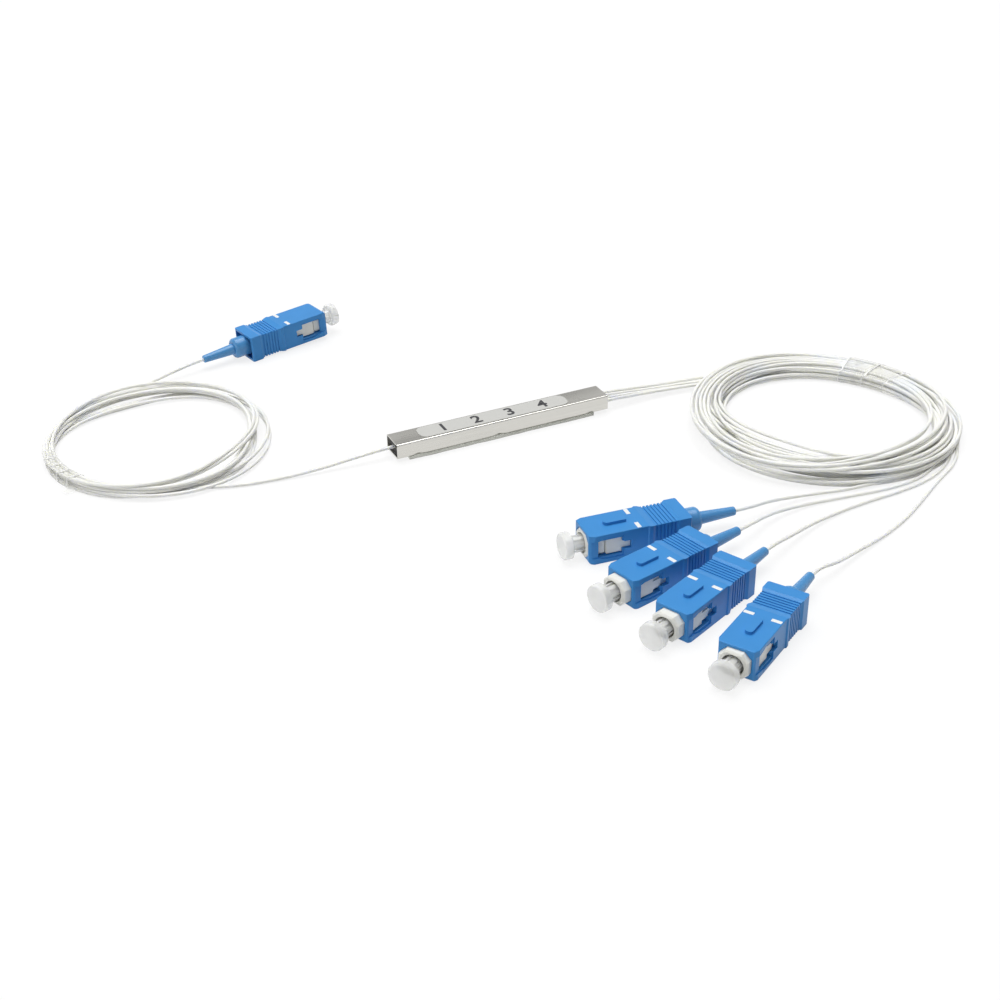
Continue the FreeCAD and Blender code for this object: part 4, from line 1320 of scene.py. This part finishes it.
@dataclass
class Studio:
    """Camera, pale floor, white surround and soft lamps."""

    camera_place: Point = (-0.1531, -0.3264, 0.1908)
    yaw: float = 25.08
    pitch: float = 30.41
    roll: float = -1.12
    lens: float = 56.5
    nearest: float = 0.01
    floor_size: float = 14.0
    floor_white: float = 0.98
    floor_own_light: float = 0.8
    bounce: float = 0.8
    surround: float = 0.12
    horizon: tuple[float, float] = (0.25, 0.5)
    above_reflected: float = 0.26

    LAMPS = (
        Lamp("overhead", (0.17, 0.68, 3.4), 3.23, 141.0),
        Lamp("left_fill", (-4.5, -1.1, 1.6), 4.0, 59.0),
    )

    def build(self) -> None:
        """Set up the camera, the lamps, the floor and the world."""
        self.camera()
        for lamp in self.LAMPS:
            lamp.build()
        self.floor()
        self.world()
        bpy.context.scene.view_settings.view_transform = "Standard"

    def camera(self) -> None:
        """Add the camera, with its tilt about its own axis."""
        data = bpy.data.cameras.new("camera")
        data.lens = self.lens
        data.clip_start = self.nearest
        camera = add_object("camera", data)
        camera.matrix_world = Matrix.Translation(self.camera_place)
        for degrees, axis in ((-self.yaw, "Z"), (90.0 - self.pitch, "X"), (self.roll, "Z")):
            camera.matrix_world @= Matrix.Rotation(math.radians(degrees), 4, axis)
        bpy.context.scene.camera = camera

    def ray(self, nodes: Nodes, kind: str) -> Signal:
        """Return 1 for rays of one kind and 0 for others."""
        return nodes.node("ShaderNodeLightPath", output=f"Is {kind} Ray")

    def seen(self, nodes: Nodes) -> Signal:
        """Return 1 for camera, glossy and transmission rays and 0 for others."""
        glossy, through = self.ray(nodes, "Glossy"), self.ray(nodes, "Transmission")
        return self.ray(nodes, "Camera").most(glossy).most(through)

    def floor(self) -> None:
        """Add a white floor that keeps soft shadows."""
        shape = bmesh.new()
        bmesh.ops.create_grid(shape, x_segments=1, y_segments=1, size=self.floor_size / 2)
        floor = piece_from("floor", shape, smooth=False)
        material = bpy.data.materials.new("floor")
        nodes = Nodes(material)
        nodes.tree.nodes.remove(nodes.tree.nodes["Principled BSDF"])
        seen = self.seen(nodes)
        grey = nodes.node("ShaderNodeMapRange", None, {
            "Value": seen, "To Min": self.bounce, "To Max": self.floor_white})
        matt = nodes.node("ShaderNodeBsdfDiffuse", None, {"Color": grey})
        bright = nodes.node("ShaderNodeEmission", None, {"Color": WHITE, "Strength": 1.0})
        nodes.mix_out(seen * self.floor_own_light, matt, bright)
        floor.data.materials.append(material)

    def ceiling(self, nodes: Nodes) -> Signal:
        """Make what metal reflects above the horizon darker than the camera sees it.

        Args:
            nodes: The world's tree.

        Returns:
            The brightness, 1 near the horizon and for the camera.
        """
        way = nodes.node("ShaderNodeTexCoord", output="Generated")
        up = nodes.node("ShaderNodeSeparateXYZ", None, {0: way}, output="Z")
        fade = nodes.node("ShaderNodeMapRange", None, {
            "Value": up, "From Min": self.horizon[0], "From Max": self.horizon[1],
            "To Min": 1.0, "To Max": self.above_reflected})
        return fade.most(self.ray(nodes, "Camera"))

    def world(self) -> None:
        """Make the surround white to the eye and soft as a light."""
        world = bpy.data.worlds.new("surround")
        bpy.context.scene.world = world
        nodes = Nodes(world)
        light = nodes.tree.nodes["Background"]
        nodes.feed(light, {"Color": WHITE, "Strength": self.surround})
        seen = nodes.node("ShaderNodeBackground", None, {
            "Color": WHITE, "Strength": self.ceiling(nodes)})
        nodes.mix_out(self.seen(nodes), Signal(nodes, light.outputs[0]), seen)


# --- the whole


def main() -> None:
    """Load the frame, dress it, add the soft pieces and set up the studio."""
    logging.basicConfig(level=logging.INFO, format="%(message)s")
    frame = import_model()
    palette = Palette()
    pieces = Module(frame["nodes"], palette).build()
    plugs = {port: Plug(port, frame, palette) for port in Port}
    for plug in plugs.values():
        pieces += plug.build()
    pigtails = Pigtails(plugs, palette)
    pieces += pigtails.build()
    left, right = pigtails.coils["input"], pigtails.coils["output"]
    pieces.append(FilmBand(left, "input_coil_wrap", palette, laps=4, loose_end=True,
                           finish="milky_film").build())
    pieces.append(FilmBand(right, "output_coil_wrap", palette, laps=2).build())
    for piece in pieces:
        LOG.info("made %s", piece.name)
    Studio().build()


if __name__ == "__main__":
    main()
